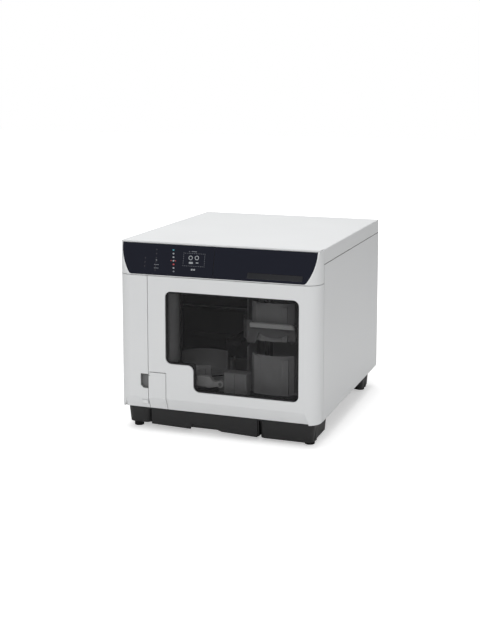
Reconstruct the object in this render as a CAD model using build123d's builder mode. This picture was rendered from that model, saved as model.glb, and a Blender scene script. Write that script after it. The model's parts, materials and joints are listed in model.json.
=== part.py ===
"""Disc label printer: a desktop cabinet that burns and prints discs, with a windowed front door.

Millimetres, +Z up, the front faces -Y. The origin is on the floor under the middle of the whole
object. Distances called "depth" are counted back from the front plane at y = FRONT.
"""

import os
from math import atan2, cos, degrees, hypot, pi, radians, sin, sqrt

from build123d import *

os.makedirs("parts", exist_ok=True)

# ---- driving dimensions -------------------------------------------------------------------
WIDTH = 377.0  # whole cabinet, side to side
CABINET_DEPTH = 445.0  # front plane to rear panel
HOOD_DEPTH = 20.0  # air hood that stands out of the rear panel
HEIGHT = 348.0  # floor to top cover
UNDERSIDE = 42.0  # height of the white cabinet's bottom edge
BAND_BOTTOM = 289.0  # where the front starts to lean back under the control band
LEAN = 15.0  # how far the band leans back at the top
CORNER = 26.0  # radius of the two upright front corners
WALL = 3.0  # moulded front skins
PANEL = 2.5  # side, rear and top panels
GAP = 1.0  # visible seam between outer pieces
SEAT = 0.3  # clearance of a piece that sits in its place
RUN = 0.05  # radial clearance of a pin or shaft that turns or slides in its bore
SLIDE = 0.5  # clearance of a drawer, tray or cartridge in its guides

BEZEL_DEPTH = 34.0  # the front mouldings wrap this far round the sides
TOP_COVER_SIDE = 26.0  # how far the top cover reaches down the sides
COVER_SEAM_X = -129.5  # seam between ink cover and door
CREASE_Z = 64.0  # top of the chamfer along the foot of the front
CREASE_IN = 9.7  # how far the chamfer goes in
CREASE_LEFT = -171.0
CREASE_RIGHT = 164.0
CREASE_MITRE = 9.0  # how far each end of the chamfer runs out towards the corner

DISC_R = 60.0  # the discs that it handles

FRONT = -(CABINET_DEPTH + HOOD_DEPTH) / 2
HALF = WIDTH / 2
SHELF_TOP = HEIGHT - TOP_COVER_SIDE  # the seam under the top cover
LEAN_ANGLE = degrees(atan2(LEAN, HEIGHT - BAND_BOTTOM))


def at_depth(depth):
    """The y of a plane this far behind the front."""
    return FRONT + depth


def save(piece, name):
    """Label a finished piece and write it."""
    piece.part.label = name
    export_step(piece.part, f"parts/{name}.step")


def box_between(low, high, mode=Mode.ADD):
    """A box from its lowest to its highest corner, inside the part being built."""
    size = [b - a for a, b in zip(low, high)]
    with Locations(tuple((a + b) / 2 for a, b in zip(low, high))):
        Box(*size, mode=mode)


def cylinder_up(x, y, low, high, radius, mode=Mode.ADD):
    """An upright cylinder between two heights, inside the part being built."""
    with Locations((x, y, (low + high) / 2)):
        Cylinder(radius, high - low, mode=mode)


def cylinder_along_y(x, z, low, high, radius, mode=Mode.ADD):
    """A cylinder along Y between two y values, inside the part being built."""
    with Locations(Location((x, (low + high) / 2, z), (90, 0, 0))):
        Cylinder(radius, high - low, mode=mode)


def cylinder_along_x(y, z, low, high, radius, mode=Mode.ADD):
    """A cylinder along X between two x values, inside the part being built."""
    with Locations(Location(((low + high) / 2, y, z), (0, 90, 0))):
        Cylinder(radius, high - low, mode=mode)


# ---- outlines shared by the outer shells -------------------------------------------------
def front_outline(inset, depth, x_left=-HALF, x_right=HALF):
    """Top view of the rounded front, inset all round, cut off at a depth and at two sides."""
    radius = CORNER - inset
    with BuildSketch(mode=Mode.PRIVATE) as outline:
        with Locations((0, at_depth(inset) + CABINET_DEPTH / 2)):
            RectangleRounded(WIDTH - 2 * inset, CABINET_DEPTH, radius)
        low_y, high_y = FRONT - 1, at_depth(depth)
        with Locations(((x_left + x_right) / 2, (low_y + high_y) / 2)):
            Rectangle(x_right - x_left, high_y - low_y, mode=Mode.INTERSECT)
    return outline.sketch


def crease_cut(inset):
    """The wedge that the chamfer along the foot of the front takes away, with mitred ends."""
    drop = CREASE_Z - UNDERSIDE
    mitre = CREASE_MITRE - inset
    with BuildPart(mode=Mode.PRIVATE) as cut:
        with BuildSketch(Plane.XZ.offset(-at_depth(CREASE_IN + inset))):
            with BuildLine():
                Polyline(
                    (CREASE_LEFT, CREASE_Z),
                    (CREASE_RIGHT, CREASE_Z),
                    (CREASE_RIGHT + mitre, UNDERSIDE - GAP),
                    (CREASE_LEFT - mitre, UNDERSIDE - GAP),
                    close=True,
                )
            make_face()
        extrude(amount=CREASE_IN + 2 * inset + GAP)
        with BuildSketch(Plane.YZ):
            with BuildLine():
                Polyline(
                    (at_depth(inset), CREASE_Z),
                    (at_depth(inset) - 2 * WALL, CREASE_Z),
                    (at_depth(inset) - 2 * WALL, UNDERSIDE - GAP),
                    (at_depth(inset + CREASE_IN * (drop + GAP) / drop), UNDERSIDE - GAP),
                    close=True,
                )
            make_face()
        extrude(amount=WIDTH / 2, both=True, mode=Mode.INTERSECT)
    return cut.part


def front_skin(low, high, x_left, x_right):
    """A stretch of the front moulding: one wall thick, open at the back, chamfered at its foot."""
    with BuildPart(mode=Mode.PRIVATE) as room:
        with BuildSketch(Plane.XY.offset(low - GAP)):
            add(front_outline(WALL, BEZEL_DEPTH + GAP))
        extrude(amount=high - low + 2 * GAP)
        add(crease_cut(WALL), mode=Mode.SUBTRACT)
    with BuildPart(mode=Mode.PRIVATE) as skin:
        with BuildSketch(Plane.XY.offset(low)):
            add(front_outline(0, BEZEL_DEPTH, x_left, x_right))
        extrude(amount=high - low)
        add(crease_cut(0), mode=Mode.SUBTRACT)
        add(room.part, mode=Mode.SUBTRACT)
    return skin.part


# ---- base moulding: a plate with the black blocks that the feet are set in ------------------
BASE_IN = 12.0  # the black base stands back from the white front
BASE_SIDE_IN = 11.0  # and from the sides
BASE_PLATE = 3.5
BLOCK_WALL = 3.0
BLOCK_DEPTH = 98.0  # length of the two front blocks, front to back
BLOCK_TAPER = 6.0
LEFT_BLOCK_Z = 12.0
RIGHT_BLOCK_Z = 7.0
POD_Z = 6.0
POD_START = 372.0  # depth at which the rear pods start
POD_LENGTH = 60.0
POD_WIDTH = 30.0
DRAWER_LEFT = -129.0
DRAWER_RIGHT = 74.6
DRAWER_RECESS = 5.0  # the base plate is cut back behind the drawer's front
FOOT_R = 9.5
FOOT_SOCKET = 2.0  # how far a foot is let into its block

base_low = UNDERSIDE - BASE_PLATE
base_half = HALF - BASE_SIDE_IN
block_corner = CORNER - BASE_IN
foot_front = at_depth(BASE_IN + 24)
foot_rear = at_depth(POD_START + POD_LENGTH / 2)
foot_side = base_half - 13.0
FEET = [
    (-foot_side, foot_front, LEFT_BLOCK_Z),
    (foot_side, foot_front, RIGHT_BLOCK_Z),
    (-foot_side, foot_rear, POD_Z),
    (foot_side, foot_rear, POD_Z),
]
BLOCKS = [  # left, right, start depth, length, lowest z
    (-base_half, DRAWER_LEFT - GAP, BASE_IN, BLOCK_DEPTH, LEFT_BLOCK_Z),
    (DRAWER_RIGHT + GAP, base_half, BASE_IN, BLOCK_DEPTH, RIGHT_BLOCK_Z),
    (-base_half, -base_half + POD_WIDTH, POD_START, POD_LENGTH, POD_Z),
    (base_half - POD_WIDTH, base_half, POD_START, POD_LENGTH, POD_Z),
]
with BuildPart() as base_moulding:
    with BuildSketch(Plane.XY.offset(base_low)):
        with Locations((0, at_depth(CABINET_DEPTH / 2))):
            RectangleRounded(2 * base_half, CABINET_DEPTH - 2 * BASE_IN, block_corner)
    extrude(amount=BASE_PLATE)
    box_between(
        (DRAWER_LEFT - GAP, at_depth(BASE_IN - 1), base_low - 1),
        (DRAWER_RIGHT + GAP, at_depth(BASE_IN + DRAWER_RECESS), UNDERSIDE + 1),
        Mode.SUBTRACT,
    )
    for left, right, start, length, low in BLOCKS:
        fall = base_low - low
        across = right - left
        centre = ((left + right) / 2, at_depth(start + length / 2))
        with BuildSketch(Plane.XY.offset(base_low)):
            with Locations(centre):
                RectangleRounded(across, length, block_corner * 0.9)
        extrude(amount=-fall, taper=degrees(atan2(BLOCK_TAPER, fall)) / 2)
        with BuildSketch(Plane.XY.offset(low)):
            with Locations(centre):
                Rectangle(across - 2 * BLOCK_WALL - BLOCK_TAPER, length - 2 * BLOCK_WALL - BLOCK_TAPER)
        extrude(amount=fall, mode=Mode.SUBTRACT)
    for x, y, low in FEET:
        cylinder_up(x, y, low, base_low, FOOT_R + BLOCK_WALL)
        cylinder_up(x, y, low, low + FOOT_SOCKET, FOOT_R + SEAT, Mode.SUBTRACT)
save(base_moulding, "base_moulding")

with BuildPart() as feet:
    for x, y, low in FEET:
        with BuildSketch(Plane.XY.offset(low + FOOT_SOCKET)):
            with Locations((x, y)):
                Circle(FOOT_R)
        extrude(amount=-(low + FOOT_SOCKET), taper=4)
save(feet, "feet")

# ---- steel chassis floor that the works stand on -------------------------------------------
FLOOR_T = 1.5
FLOOR_IN = 6.0
floor_top = UNDERSIDE + FLOOR_T
with BuildPart() as chassis_floor:
    with BuildSketch(Plane.XY.offset(UNDERSIDE)):
        with Locations((0, at_depth((BEZEL_DEPTH + CABINET_DEPTH) / 2 + FLOOR_IN / 2))):
            Rectangle(WIDTH - 2 * FLOOR_IN, CABINET_DEPTH - BEZEL_DEPTH - 2 * FLOOR_IN)
    extrude(amount=FLOOR_T)
save(chassis_floor, "chassis_floor")

# ---- side panels: bevelled inside at the front, where the opening door sweeps past ----------
PANEL_START = BEZEL_DEPTH + 1.4
RETURN = 14.0  # flange that each panel turns in over the base
panel_end = CABINET_DEPTH - PANEL - SEAT


def side_panel(side):
    """One upright side, with flanges top and bottom, mirrored by its sign."""
    with BuildPart(mode=Mode.PRIVATE) as panel:
        with BuildSketch(Plane.XY.offset(UNDERSIDE)):
            with BuildLine():
                Polyline(
                    (side * HALF, at_depth(PANEL_START)),
                    (side * HALF, at_depth(panel_end)),
                    (side * (HALF - PANEL), at_depth(panel_end)),
                    (side * (HALF - PANEL), at_depth(PANEL_START + PANEL)),
                    (side * (HALF - 0.4), at_depth(PANEL_START)),
                    close=True,
                )
            make_face()
        extrude(amount=SHELF_TOP - UNDERSIDE - SEAT)
        for low in (UNDERSIDE, SHELF_TOP - SEAT - PANEL):
            x_near, x_far = sorted((side * (HALF - PANEL), side * (HALF - FLOOR_IN + SEAT)))
            box_between(
                (x_near, at_depth(FLOOR_IN + BEZEL_DEPTH + 2 * PANEL), low),
                (x_far, at_depth(panel_end - RETURN), low + PANEL),
            )
    return panel.part


for side, name in ((-1, "left_side_panel"), (1, "right_side_panel")):
    with BuildPart() as panel:
        add(side_panel(side))
    save(panel, name)

# ---- top cover -----------------------------------------------------------------------------
TOP_SETBACK = LEAN + 0.5
with BuildPart() as top_cover:
    box_between(
        (-HALF, at_depth(BEZEL_DEPTH + GAP / 2), SHELF_TOP),
        (HALF, at_depth(CABINET_DEPTH), HEIGHT),
    )
    fillet(top_cover.edges().filter_by(Axis.Y).group_by(Axis.Z)[-1], 2)
    fillet(top_cover.edges().filter_by(Axis.X).group_by(Axis.Z)[-1].sort_by(Axis.Y)[-1], 2)
    offset(amount=-PANEL, openings=top_cover.faces().sort_by(Axis.Z)[0])
    box_between(
        (-HALF + PANEL, at_depth(BEZEL_DEPTH), SHELF_TOP - 1),
        (HALF - PANEL, at_depth(BEZEL_DEPTH + GAP / 2 + PANEL + 1), HEIGHT - PANEL),
        Mode.SUBTRACT,
    )
    box_between(
        (-HALF + 2, at_depth(TOP_SETBACK), HEIGHT - PANEL),
        (HALF - 2, at_depth(BEZEL_DEPTH + GAP / 2), HEIGHT),
    )
save(top_cover, "top_cover")

# ---- front frame: the fixed head of the front, leaning back behind the control band ---------
BAND_T = 3.0
BAND_SEAT = 0.2
SPLIT_X = -5.0  # seam that splits the control band
BAND_FOOT = 1.5  # distance of the band's lower edge up the slope
BAND_HEAD = 3.2  # white left above it
BAND_FOOT_HALF = HALF - CORNER + 1.5  # half its width at its lower edge,
BAND_BELLY_HALF = HALF - 11.5  # at the belly of its curved ends
BAND_TOP_HALF = HALF - 6.0  # and at its top
BAND_BELLY = 0.427  # how far up the slope the belly lies
BAND_FOOT_R = 7.0
slope_length = hypot(LEAN, HEIGHT - BAND_BOTTOM)
lean_plane = Plane(
    origin=(0, FRONT, BAND_BOTTOM),
    x_dir=(1, 0, 0),
    z_dir=(0, -cos(radians(LEAN_ANGLE)), sin(radians(LEAN_ANGLE))),
)


def band_outline(grow=0.0):
    """The control band on the leaning face, wider at its top, with curved ends."""
    top = slope_length - BAND_HEAD
    belly = BAND_BELLY * slope_length
    with BuildSketch(mode=Mode.PRIVATE) as outline:
        with BuildLine():
            Line((-BAND_FOOT_HALF, BAND_FOOT), (BAND_FOOT_HALF, BAND_FOOT))
            ThreePointArc((BAND_FOOT_HALF, BAND_FOOT), (BAND_BELLY_HALF, belly), (BAND_TOP_HALF, top))
            Line((BAND_TOP_HALF, top), (-BAND_TOP_HALF, top))
            ThreePointArc((-BAND_TOP_HALF, top), (-BAND_BELLY_HALF, belly), (-BAND_FOOT_HALF, BAND_FOOT))
        make_face()
        fillet(outline.vertices().group_by(Axis.Y)[0], BAND_FOOT_R)
        if grow:
            offset(amount=grow, kind=Kind.INTERSECTION)
    return outline.sketch


frame_top = HEIGHT - PANEL - SEAT
FRAME_BACKING = 3.5  # wall left behind the band's pocket
with BuildPart(mode=Mode.PRIVATE) as frame_room:
    with BuildSketch(Plane.XY.offset(BAND_BOTTOM + WALL)):
        add(front_outline(WALL, BEZEL_DEPTH + GAP))
    extrude(amount=HEIGHT - BAND_BOTTOM)
    with BuildSketch(lean_plane.offset(-BAND_T - BAND_SEAT - FRAME_BACKING)):
        Rectangle(2 * WIDTH, 4 * slope_length)
    extrude(amount=4 * LEAN, mode=Mode.SUBTRACT)
with BuildPart() as front_frame:
    with BuildSketch(Plane.XY.offset(BAND_BOTTOM)):
        add(front_outline(0, BEZEL_DEPTH))
    extrude(amount=frame_top - BAND_BOTTOM)
    with BuildSketch(lean_plane):
        Rectangle(2 * WIDTH, 4 * slope_length)
    extrude(amount=4 * LEAN, mode=Mode.SUBTRACT)
    add(frame_room.part, mode=Mode.SUBTRACT)
    with BuildSketch(lean_plane):
        add(band_outline(BAND_SEAT))
    extrude(amount=-BAND_T - BAND_SEAT, mode=Mode.SUBTRACT)
save(front_frame, "front_frame")

# ---- control band: two glossy plates, a sunk strip and the lights ----------------------------
BAND_SPLIT = 0.8
STRIP_LEFT = 58.0
STRIP_RIGHT = 160.0
STRIP_LOW = 6.0  # up the slope
STRIP_HIGH = 16.0
STRIP_T = 0.6  # the strip is sunk this deep
STATUS_X = -136.0
INK_LIGHT_X = -115.0
LIGHT_R = 1.3
LIGHT_PITCH = 7.4


def band_half(x_low, x_high):
    """The part of the control band between two x values, with pockets for what it holds."""
    with BuildPart(mode=Mode.PRIVATE) as half:
        with BuildSketch(lean_plane):
            add(band_outline())
            with Locations(((x_low + x_high) / 2, slope_length / 2)):
                Rectangle(x_high - x_low, 2 * slope_length, mode=Mode.INTERSECT)
        extrude(amount=-BAND_T)
    return half.part


status_spots = [(STATUS_X, 16.0 + k * LIGHT_PITCH) for k in range(3)]
ink_spots = [(INK_LIGHT_X, 10.0 + k * LIGHT_PITCH) for k in range(6)]
with BuildPart() as control_band_left:
    add(band_half(-WIDTH, SPLIT_X - BAND_SPLIT / 2))
    with Locations(lean_plane):
        with Locations(*[(x, s, -BAND_T / 2) for x, s in status_spots + ink_spots]):
            Cylinder(LIGHT_R + RUN, BAND_T + 1, mode=Mode.SUBTRACT)
save(control_band_left, "control_band_left")

strip_centre = ((STRIP_LEFT + STRIP_RIGHT) / 2, (STRIP_LOW + STRIP_HIGH) / 2)
strip_size = (STRIP_RIGHT - STRIP_LEFT, STRIP_HIGH - STRIP_LOW)
with BuildPart() as control_band_right:
    add(band_half(SPLIT_X + BAND_SPLIT / 2, WIDTH))
    with BuildSketch(lean_plane):
        with Locations(strip_centre):
            RectangleRounded(*strip_size, 1.5)
    extrude(amount=-STRIP_T, mode=Mode.SUBTRACT)
save(control_band_right, "control_band_right")

with BuildPart() as indicator_lights:
    with Locations(lean_plane):
        with Locations(*[(x, s, -BAND_T / 2) for x, s in status_spots + ink_spots]):
            Cylinder(LIGHT_R, BAND_T)
save(indicator_lights, "indicator_lights")


# ---- front door -----------------------------------------------------------------------------
DOOR_TOP = BAND_BOTTOM - GAP
DOOR_LOW = UNDERSIDE + 0.5
HINGE_DEPTH = 17.0  # both front leaves turn on upright pins this far behind the front
HINGE_IN = 16.5  # and this far in from the side
PIN_R = 2.5
KNUCKLE_R = 5.0
KNUCKLE_H = 12.0
KNUCKLE_REACH = 11.5  # from the pin's axis into the corner's skin
PIN_LENGTH = 8.0
WINDOW_LEFT = -95.6
WINDOW_RIGHT = 153.8
WINDOW_TOP = 262.0
WINDOW_LOW = 82.0
STEP_X = -42.0  # the window steps up in its lower left corner
STEP_Z = 129.5
WINDOW_R = 11.0
WINDOW_EDGE = 4.0  # overlap of the pane behind the door's opening
PANE_T = 2.5
FLAP_RIGHT = COVER_SEAM_X + 34.5
FLAP_TOP = 111.0
FLAP_GAP = 1.2  # seam above the flap, which its top corner turns through
FLAP_PIN_R = 1.2
FLAP_PIN_IN = 2.5  # the flap's pins lie this far behind its face and below its top
EAR_W = 2.0
RIM = 6.0  # depth of the stiffening rim behind the door's edges

door_pivot = (HALF - HINGE_IN, at_depth(HINGE_DEPTH))
cover_pivot = (-HALF + HINGE_IN, at_depth(HINGE_DEPTH))
seam_edge = COVER_SEAM_X + GAP / 2
flap_pin_y = at_depth(FLAP_PIN_IN)
flap_pin_z = FLAP_TOP - FLAP_PIN_IN


def window_outline(grow=0.0):
    """The stepped window, seen from the front, grown all round for the pane's edge."""
    with BuildSketch(mode=Mode.PRIVATE) as outline:
        with BuildLine():
            Polyline(
                (WINDOW_LEFT, WINDOW_TOP),
                (WINDOW_RIGHT, WINDOW_TOP),
                (WINDOW_RIGHT, WINDOW_LOW),
                (STEP_X, WINDOW_LOW),
                (STEP_X, STEP_Z),
                (WINDOW_LEFT, STEP_Z),
                close=True,
            )
        make_face()
        fillet(outline.vertices(), WINDOW_R)
        if grow:
            offset(amount=grow)
    return outline.sketch


with BuildPart() as door_shell:
    add(front_skin(DOOR_LOW, DOOR_TOP, seam_edge, HALF))
    with BuildSketch(Plane.XZ.offset(-at_depth(WALL + PANE_T))):
        add(window_outline(2 * WINDOW_EDGE))
    extrude(amount=PANE_T)
    with BuildSketch(Plane.XZ.offset(-at_depth(WALL + PANE_T + 1))):
        add(window_outline(WINDOW_EDGE + SEAT))
    extrude(amount=PANE_T + 1, mode=Mode.SUBTRACT)
    with BuildSketch(Plane.XZ.offset(-at_depth(WALL + PANE_T + 1))):
        add(window_outline())
    extrude(amount=PANE_T + WALL + 2, mode=Mode.SUBTRACT)
    for low, high in ((DOOR_TOP - WALL, DOOR_TOP), (DOOR_TOP - KNUCKLE_H, DOOR_TOP - KNUCKLE_H + WALL)):
        with BuildSketch(Plane.XY.offset(low)):
            add(front_outline(WALL / 2, RIM + WALL, seam_edge, HALF))
        extrude(amount=high - low)
    for low in (DOOR_LOW, DOOR_TOP - KNUCKLE_H):
        with BuildSketch(Plane.XY.offset(low)):
            with Locations(door_pivot):
                Circle(KNUCKLE_R)
            with Locations((door_pivot[0] + KNUCKLE_REACH / 2, door_pivot[1])):
                Rectangle(KNUCKLE_REACH, 2 * KNUCKLE_R)
        extrude(amount=KNUCKLE_H)
    for low, high in (
        (DOOR_LOW - 1, DOOR_LOW + PIN_LENGTH + SEAT),
        (DOOR_TOP - PIN_LENGTH - SEAT, DOOR_TOP + 1),
    ):
        cylinder_up(*door_pivot, low, high, PIN_R + RUN, Mode.SUBTRACT)
    box_between(
        (COVER_SEAM_X - 1, FRONT - 1, UNDERSIDE - 1),
        (FLAP_RIGHT + GAP / 2, at_depth(RIM + 2 * WALL + CREASE_IN), FLAP_TOP + FLAP_GAP),
        Mode.SUBTRACT,
    )
    for left, right in ((seam_edge, seam_edge + EAR_W), (FLAP_RIGHT + GAP / 2, FLAP_RIGHT + 2 * EAR_W)):
        box_between(
            (left, at_depth(0.6), flap_pin_z - WALL),
            (right, at_depth(FLAP_PIN_IN + WALL), FLAP_TOP + WALL),
        )
    cylinder_along_x(
        flap_pin_y, flap_pin_z, seam_edge - 1, FLAP_RIGHT + 1.5 * EAR_W, FLAP_PIN_R + RUN, Mode.SUBTRACT
    )
save(door_shell, "door_shell")

with BuildPart() as door_window:
    with BuildSketch(Plane.XZ.offset(-at_depth(WALL + PANE_T))):
        add(window_outline(WINDOW_EDGE))
    extrude(amount=PANE_T)
save(door_window, "door_window")

# the small flap in the door's lower left corner, which swings out on pins along its top
with BuildPart() as door_flap:
    add(front_skin(DOOR_LOW, FLAP_TOP, seam_edge, FLAP_RIGHT - GAP / 2))
    box_between(
        (seam_edge - 1, FRONT - 1, flap_pin_z - WALL - FLAP_GAP),
        (seam_edge + EAR_W + SEAT, at_depth(2 * WALL), FLAP_TOP + 1),
        Mode.SUBTRACT,
    )
    cylinder_along_x(
        flap_pin_y, flap_pin_z, seam_edge + SEAT, FLAP_RIGHT + 1.2 * EAR_W, FLAP_PIN_R
    )
save(door_flap, "door_flap")

# ---- ink cover: the left strip, with its finger recess beside the door ----------------------
RECESS_LEFT = COVER_SEAM_X - 15.1
RECESS_TOP = 107.5
RECESS_LOW = 81.0
RECESS_DEPTH = 9.0
BUTTON_LEFT = COVER_SEAM_X - 13.3
BUTTON_RIGHT = COVER_SEAM_X - 1.4
BUTTON_LOW = 51.4
BUTTON_TOP = 58.6
with BuildPart() as ink_cover:
    add(front_skin(DOOR_LOW, DOOR_TOP, -HALF, COVER_SEAM_X - GAP / 2))
    with BuildSketch(Plane.XZ.offset(-at_depth(RECESS_DEPTH + WALL))):
        with Locations(((RECESS_LEFT + COVER_SEAM_X - GAP / 2 - WALL / 2) / 2, (RECESS_TOP + RECESS_LOW) / 2)):
            Rectangle(
                COVER_SEAM_X - GAP / 2 + WALL / 2 - RECESS_LEFT - WALL / 2,
                RECESS_TOP - RECESS_LOW + 2 * WALL,
            )
    extrude(amount=RECESS_DEPTH + WALL / 2)
    with BuildSketch(Plane.XZ.offset(-at_depth(RECESS_DEPTH))):
        with BuildLine():
            Polyline(
                (RECESS_LEFT, RECESS_TOP),
                (COVER_SEAM_X + 1, RECESS_TOP),
                (COVER_SEAM_X + 1, RECESS_LOW),
                (RECESS_LEFT + 5, RECESS_LOW),
                (RECESS_LEFT, RECESS_LOW + 5),
                close=True,
            )
        make_face()
    extrude(amount=RECESS_DEPTH + 1, mode=Mode.SUBTRACT)
    for low in (DOOR_LOW, DOOR_TOP - KNUCKLE_H):
        with BuildSketch(Plane.XY.offset(low)):
            with Locations(cover_pivot):
                Circle(KNUCKLE_R)
            with Locations((cover_pivot[0] - KNUCKLE_REACH / 2, cover_pivot[1])):
                Rectangle(KNUCKLE_REACH, 2 * KNUCKLE_R)
        extrude(amount=KNUCKLE_H)
    for low, high in (
        (DOOR_LOW - 1, DOOR_LOW + PIN_LENGTH + SEAT),
        (DOOR_TOP - PIN_LENGTH - SEAT, DOOR_TOP + 1),
    ):
        cylinder_up(*cover_pivot, low, high, PIN_R + RUN, Mode.SUBTRACT)
    box_between(
        (BUTTON_LEFT - SEAT, FRONT - 1, BUTTON_LOW - SEAT),
        (BUTTON_RIGHT + SEAT, at_depth(CREASE_IN + 2 * WALL), BUTTON_TOP + SEAT),
        Mode.SUBTRACT,
    )
save(ink_cover, "ink_cover")

# ---- cover release button: a small sprung tab that rides in the ink cover -------------------
with BuildPart() as cover_button:
    box_between(
        (BUTTON_LEFT, at_depth(1.0), BUTTON_LOW),
        (BUTTON_RIGHT, at_depth(CREASE_IN + WALL + 1.5), BUTTON_TOP),
    )
    fillet(cover_button.edges().filter_by(Axis.X).group_by(Axis.Y)[0], 1.2)
save(cover_button, "cover_button")

# ---- the upright pins that both front leaves turn on ----------------------------------------
with BuildPart() as hinge_pins:
    for x, y in (door_pivot, cover_pivot):
        cylinder_up(x, y, UNDERSIDE, DOOR_LOW + PIN_LENGTH, PIN_R)
        cylinder_up(x, y, DOOR_TOP - PIN_LENGTH, BAND_BOTTOM, PIN_R)
save(hinge_pins, "hinge_pins")

# ---- disc drawer under the door -------------------------------------------------------------
DRAWER_FRONT_T = 3.5
DRAWER_LENGTH = 165.0
DRAWER_FLOOR_Z = 12.0
DRAWER_RIM_Z = 26.0
RAIL_T = 2.0
RAIL_FOOT = 4.5
drawer_x = (DRAWER_LEFT + DRAWER_RIGHT) / 2
drawer_half = (DRAWER_RIGHT - DRAWER_LEFT) / 2
rail_outer = drawer_half - 2.0
tray_half = rail_outer - RAIL_T - RAIL_FOOT - 1.5
rail_foot_z = DRAWER_RIM_Z + 0.5
drawer_back = BASE_IN + DRAWER_FRONT_T + DRAWER_LENGTH
drawer_disc = (drawer_x, at_depth(BASE_IN + DRAWER_FRONT_T + DISC_R + 12))
with BuildPart() as drawer:
    with BuildSketch(Plane.XZ.offset(-at_depth(BASE_IN + DRAWER_FRONT_T))):
        with BuildLine():
            Polyline(
                (DRAWER_LEFT, UNDERSIDE - 0.5),
                (DRAWER_RIGHT, UNDERSIDE - 0.5),
                (DRAWER_RIGHT, 8.0),
                (7.5, 10.5),
                (-8.0, 15.5),
                (-50.0, 19.5),
                (-53.0, 9.5),
                (DRAWER_LEFT, 11.5),
                close=True,
            )
        make_face()
    extrude(amount=DRAWER_FRONT_T)
    fillet(drawer.edges().filter_by(Axis.X).group_by(Axis.Y)[0].group_by(Axis.Z)[-1], 1)
    tray_low = at_depth(BASE_IN + DRAWER_FRONT_T)
    with BuildSketch(Plane.XY.offset(DRAWER_FLOOR_Z)):
        with Locations((drawer_x, tray_low + DRAWER_LENGTH / 2)):
            Rectangle(2 * tray_half, DRAWER_LENGTH)
    extrude(amount=DRAWER_RIM_Z - DRAWER_FLOOR_Z + 5.5)
    with BuildSketch(Plane.XY.offset(rail_foot_z + RAIL_T + SLIDE)):
        with Locations((drawer_x, tray_low + DRAWER_LENGTH / 2)):
            Rectangle(2 * (tray_half + RAIL_FOOT), DRAWER_LENGTH)
    extrude(amount=RAIL_T)
    with BuildSketch(Plane.XY.offset(DRAWER_FLOOR_Z + 2)):
        with Locations(drawer_disc):
            Circle(DISC_R + 1.5)
        with Locations((drawer_x, drawer_disc[1] - DISC_R / 2 - 3)):
            Rectangle(34, DISC_R + 4)
    extrude(amount=DRAWER_RIM_Z, mode=Mode.SUBTRACT)
    with BuildSketch(Plane.XY.offset(DRAWER_FLOOR_Z + 2)):
        for x in (-1, 1):
            with Locations((drawer_x + x * (tray_half - 13), tray_low + DRAWER_LENGTH / 2)):
                RectangleRounded(18, DRAWER_LENGTH - 10, 4)
    extrude(amount=DRAWER_RIM_Z, mode=Mode.SUBTRACT)
    with Locations((*drawer_disc, DRAWER_FLOOR_Z)):
        Cylinder(22, 10, mode=Mode.SUBTRACT)
save(drawer, "drawer")

with BuildPart() as drawer_rails:
    for side in (-1, 1):
        with BuildSketch(Plane.XZ.offset(-at_depth(drawer_back + 12))):
            with BuildLine():
                Polyline(
                    (drawer_x + side * rail_outer, base_low),
                    (drawer_x + side * (rail_outer - RAIL_T), base_low),
                    (drawer_x + side * (rail_outer - RAIL_T), rail_foot_z + RAIL_T),
                    (drawer_x + side * (rail_outer - RAIL_T - RAIL_FOOT), rail_foot_z + RAIL_T),
                    (drawer_x + side * (rail_outer - RAIL_T - RAIL_FOOT), rail_foot_z),
                    (drawer_x + side * rail_outer, rail_foot_z),
                    close=True,
                )
            make_face()
        extrude(amount=drawer_back + 12 - BASE_IN - DRAWER_FRONT_T - 4)
    box_between(
        (drawer_x - rail_outer, at_depth(drawer_back + 12), rail_foot_z),
        (drawer_x + rail_outer, at_depth(drawer_back + 12 + RAIL_T), base_low),
    )
save(drawer_rails, "drawer_rails")

# ---- layout of the disc bay -----------------------------------------------------------------
COLUMN_X = 11.0
COLUMN_DEPTH = 172.0
REACH = 104.0  # arm pivot to the middle of a disc
SIDE_REACH = 79.0  # sideways part of that reach, the same to both sides
SCREW_AHEAD = 24.0  # the lead screw stands this far to the right of the column
MOUNT_ROOM = 14.0  # notch that the deck leaves round the arm's column and screw
DECK_TOP = 78.0
DECK_T = 3.0
column = (COLUMN_X, at_depth(COLUMN_DEPTH))
forward_reach = sqrt(REACH**2 - SIDE_REACH**2)
right_spot = (COLUMN_X + SIDE_REACH, at_depth(COLUMN_DEPTH - forward_reach))
left_spot = (COLUMN_X - SIDE_REACH, at_depth(COLUMN_DEPTH - forward_reach))
slot_turn = degrees(atan2(forward_reach, SIDE_REACH))

BAY_BACK = COLUMN_DEPTH + MOUNT_ROOM
DECK_FRONT = 19.0
PARTITION_X = -143.5
PARTITION_T = 1.5
DOOR_SWEEP = 25.5  # room that the wrapped edge of the open door needs round its pins
deck_right = HALF - FLOOR_IN
with BuildPart() as deck:
    box_between(
        (PARTITION_X + PARTITION_T, at_depth(DECK_FRONT), floor_top),
        (deck_right, at_depth(BAY_BACK), DECK_TOP),
    )
    box_between(
        (PARTITION_X + PARTITION_T + DECK_T, at_depth(DECK_FRONT + DECK_T), floor_top),
        (deck_right - DECK_T, at_depth(BAY_BACK - DECK_T), DECK_TOP - DECK_T),
        Mode.SUBTRACT,
    )
    cylinder_up(*door_pivot, floor_top - 1, DECK_TOP + 1, DOOR_SWEEP, Mode.SUBTRACT)
    box_between(
        (COLUMN_X - MOUNT_ROOM, at_depth(COLUMN_DEPTH - MOUNT_ROOM), floor_top - 1),
        (COLUMN_X + SCREW_AHEAD + MOUNT_ROOM, at_depth(BAY_BACK + 1), DECK_TOP + 1),
        Mode.SUBTRACT,
    )
save(deck, "deck")

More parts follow.
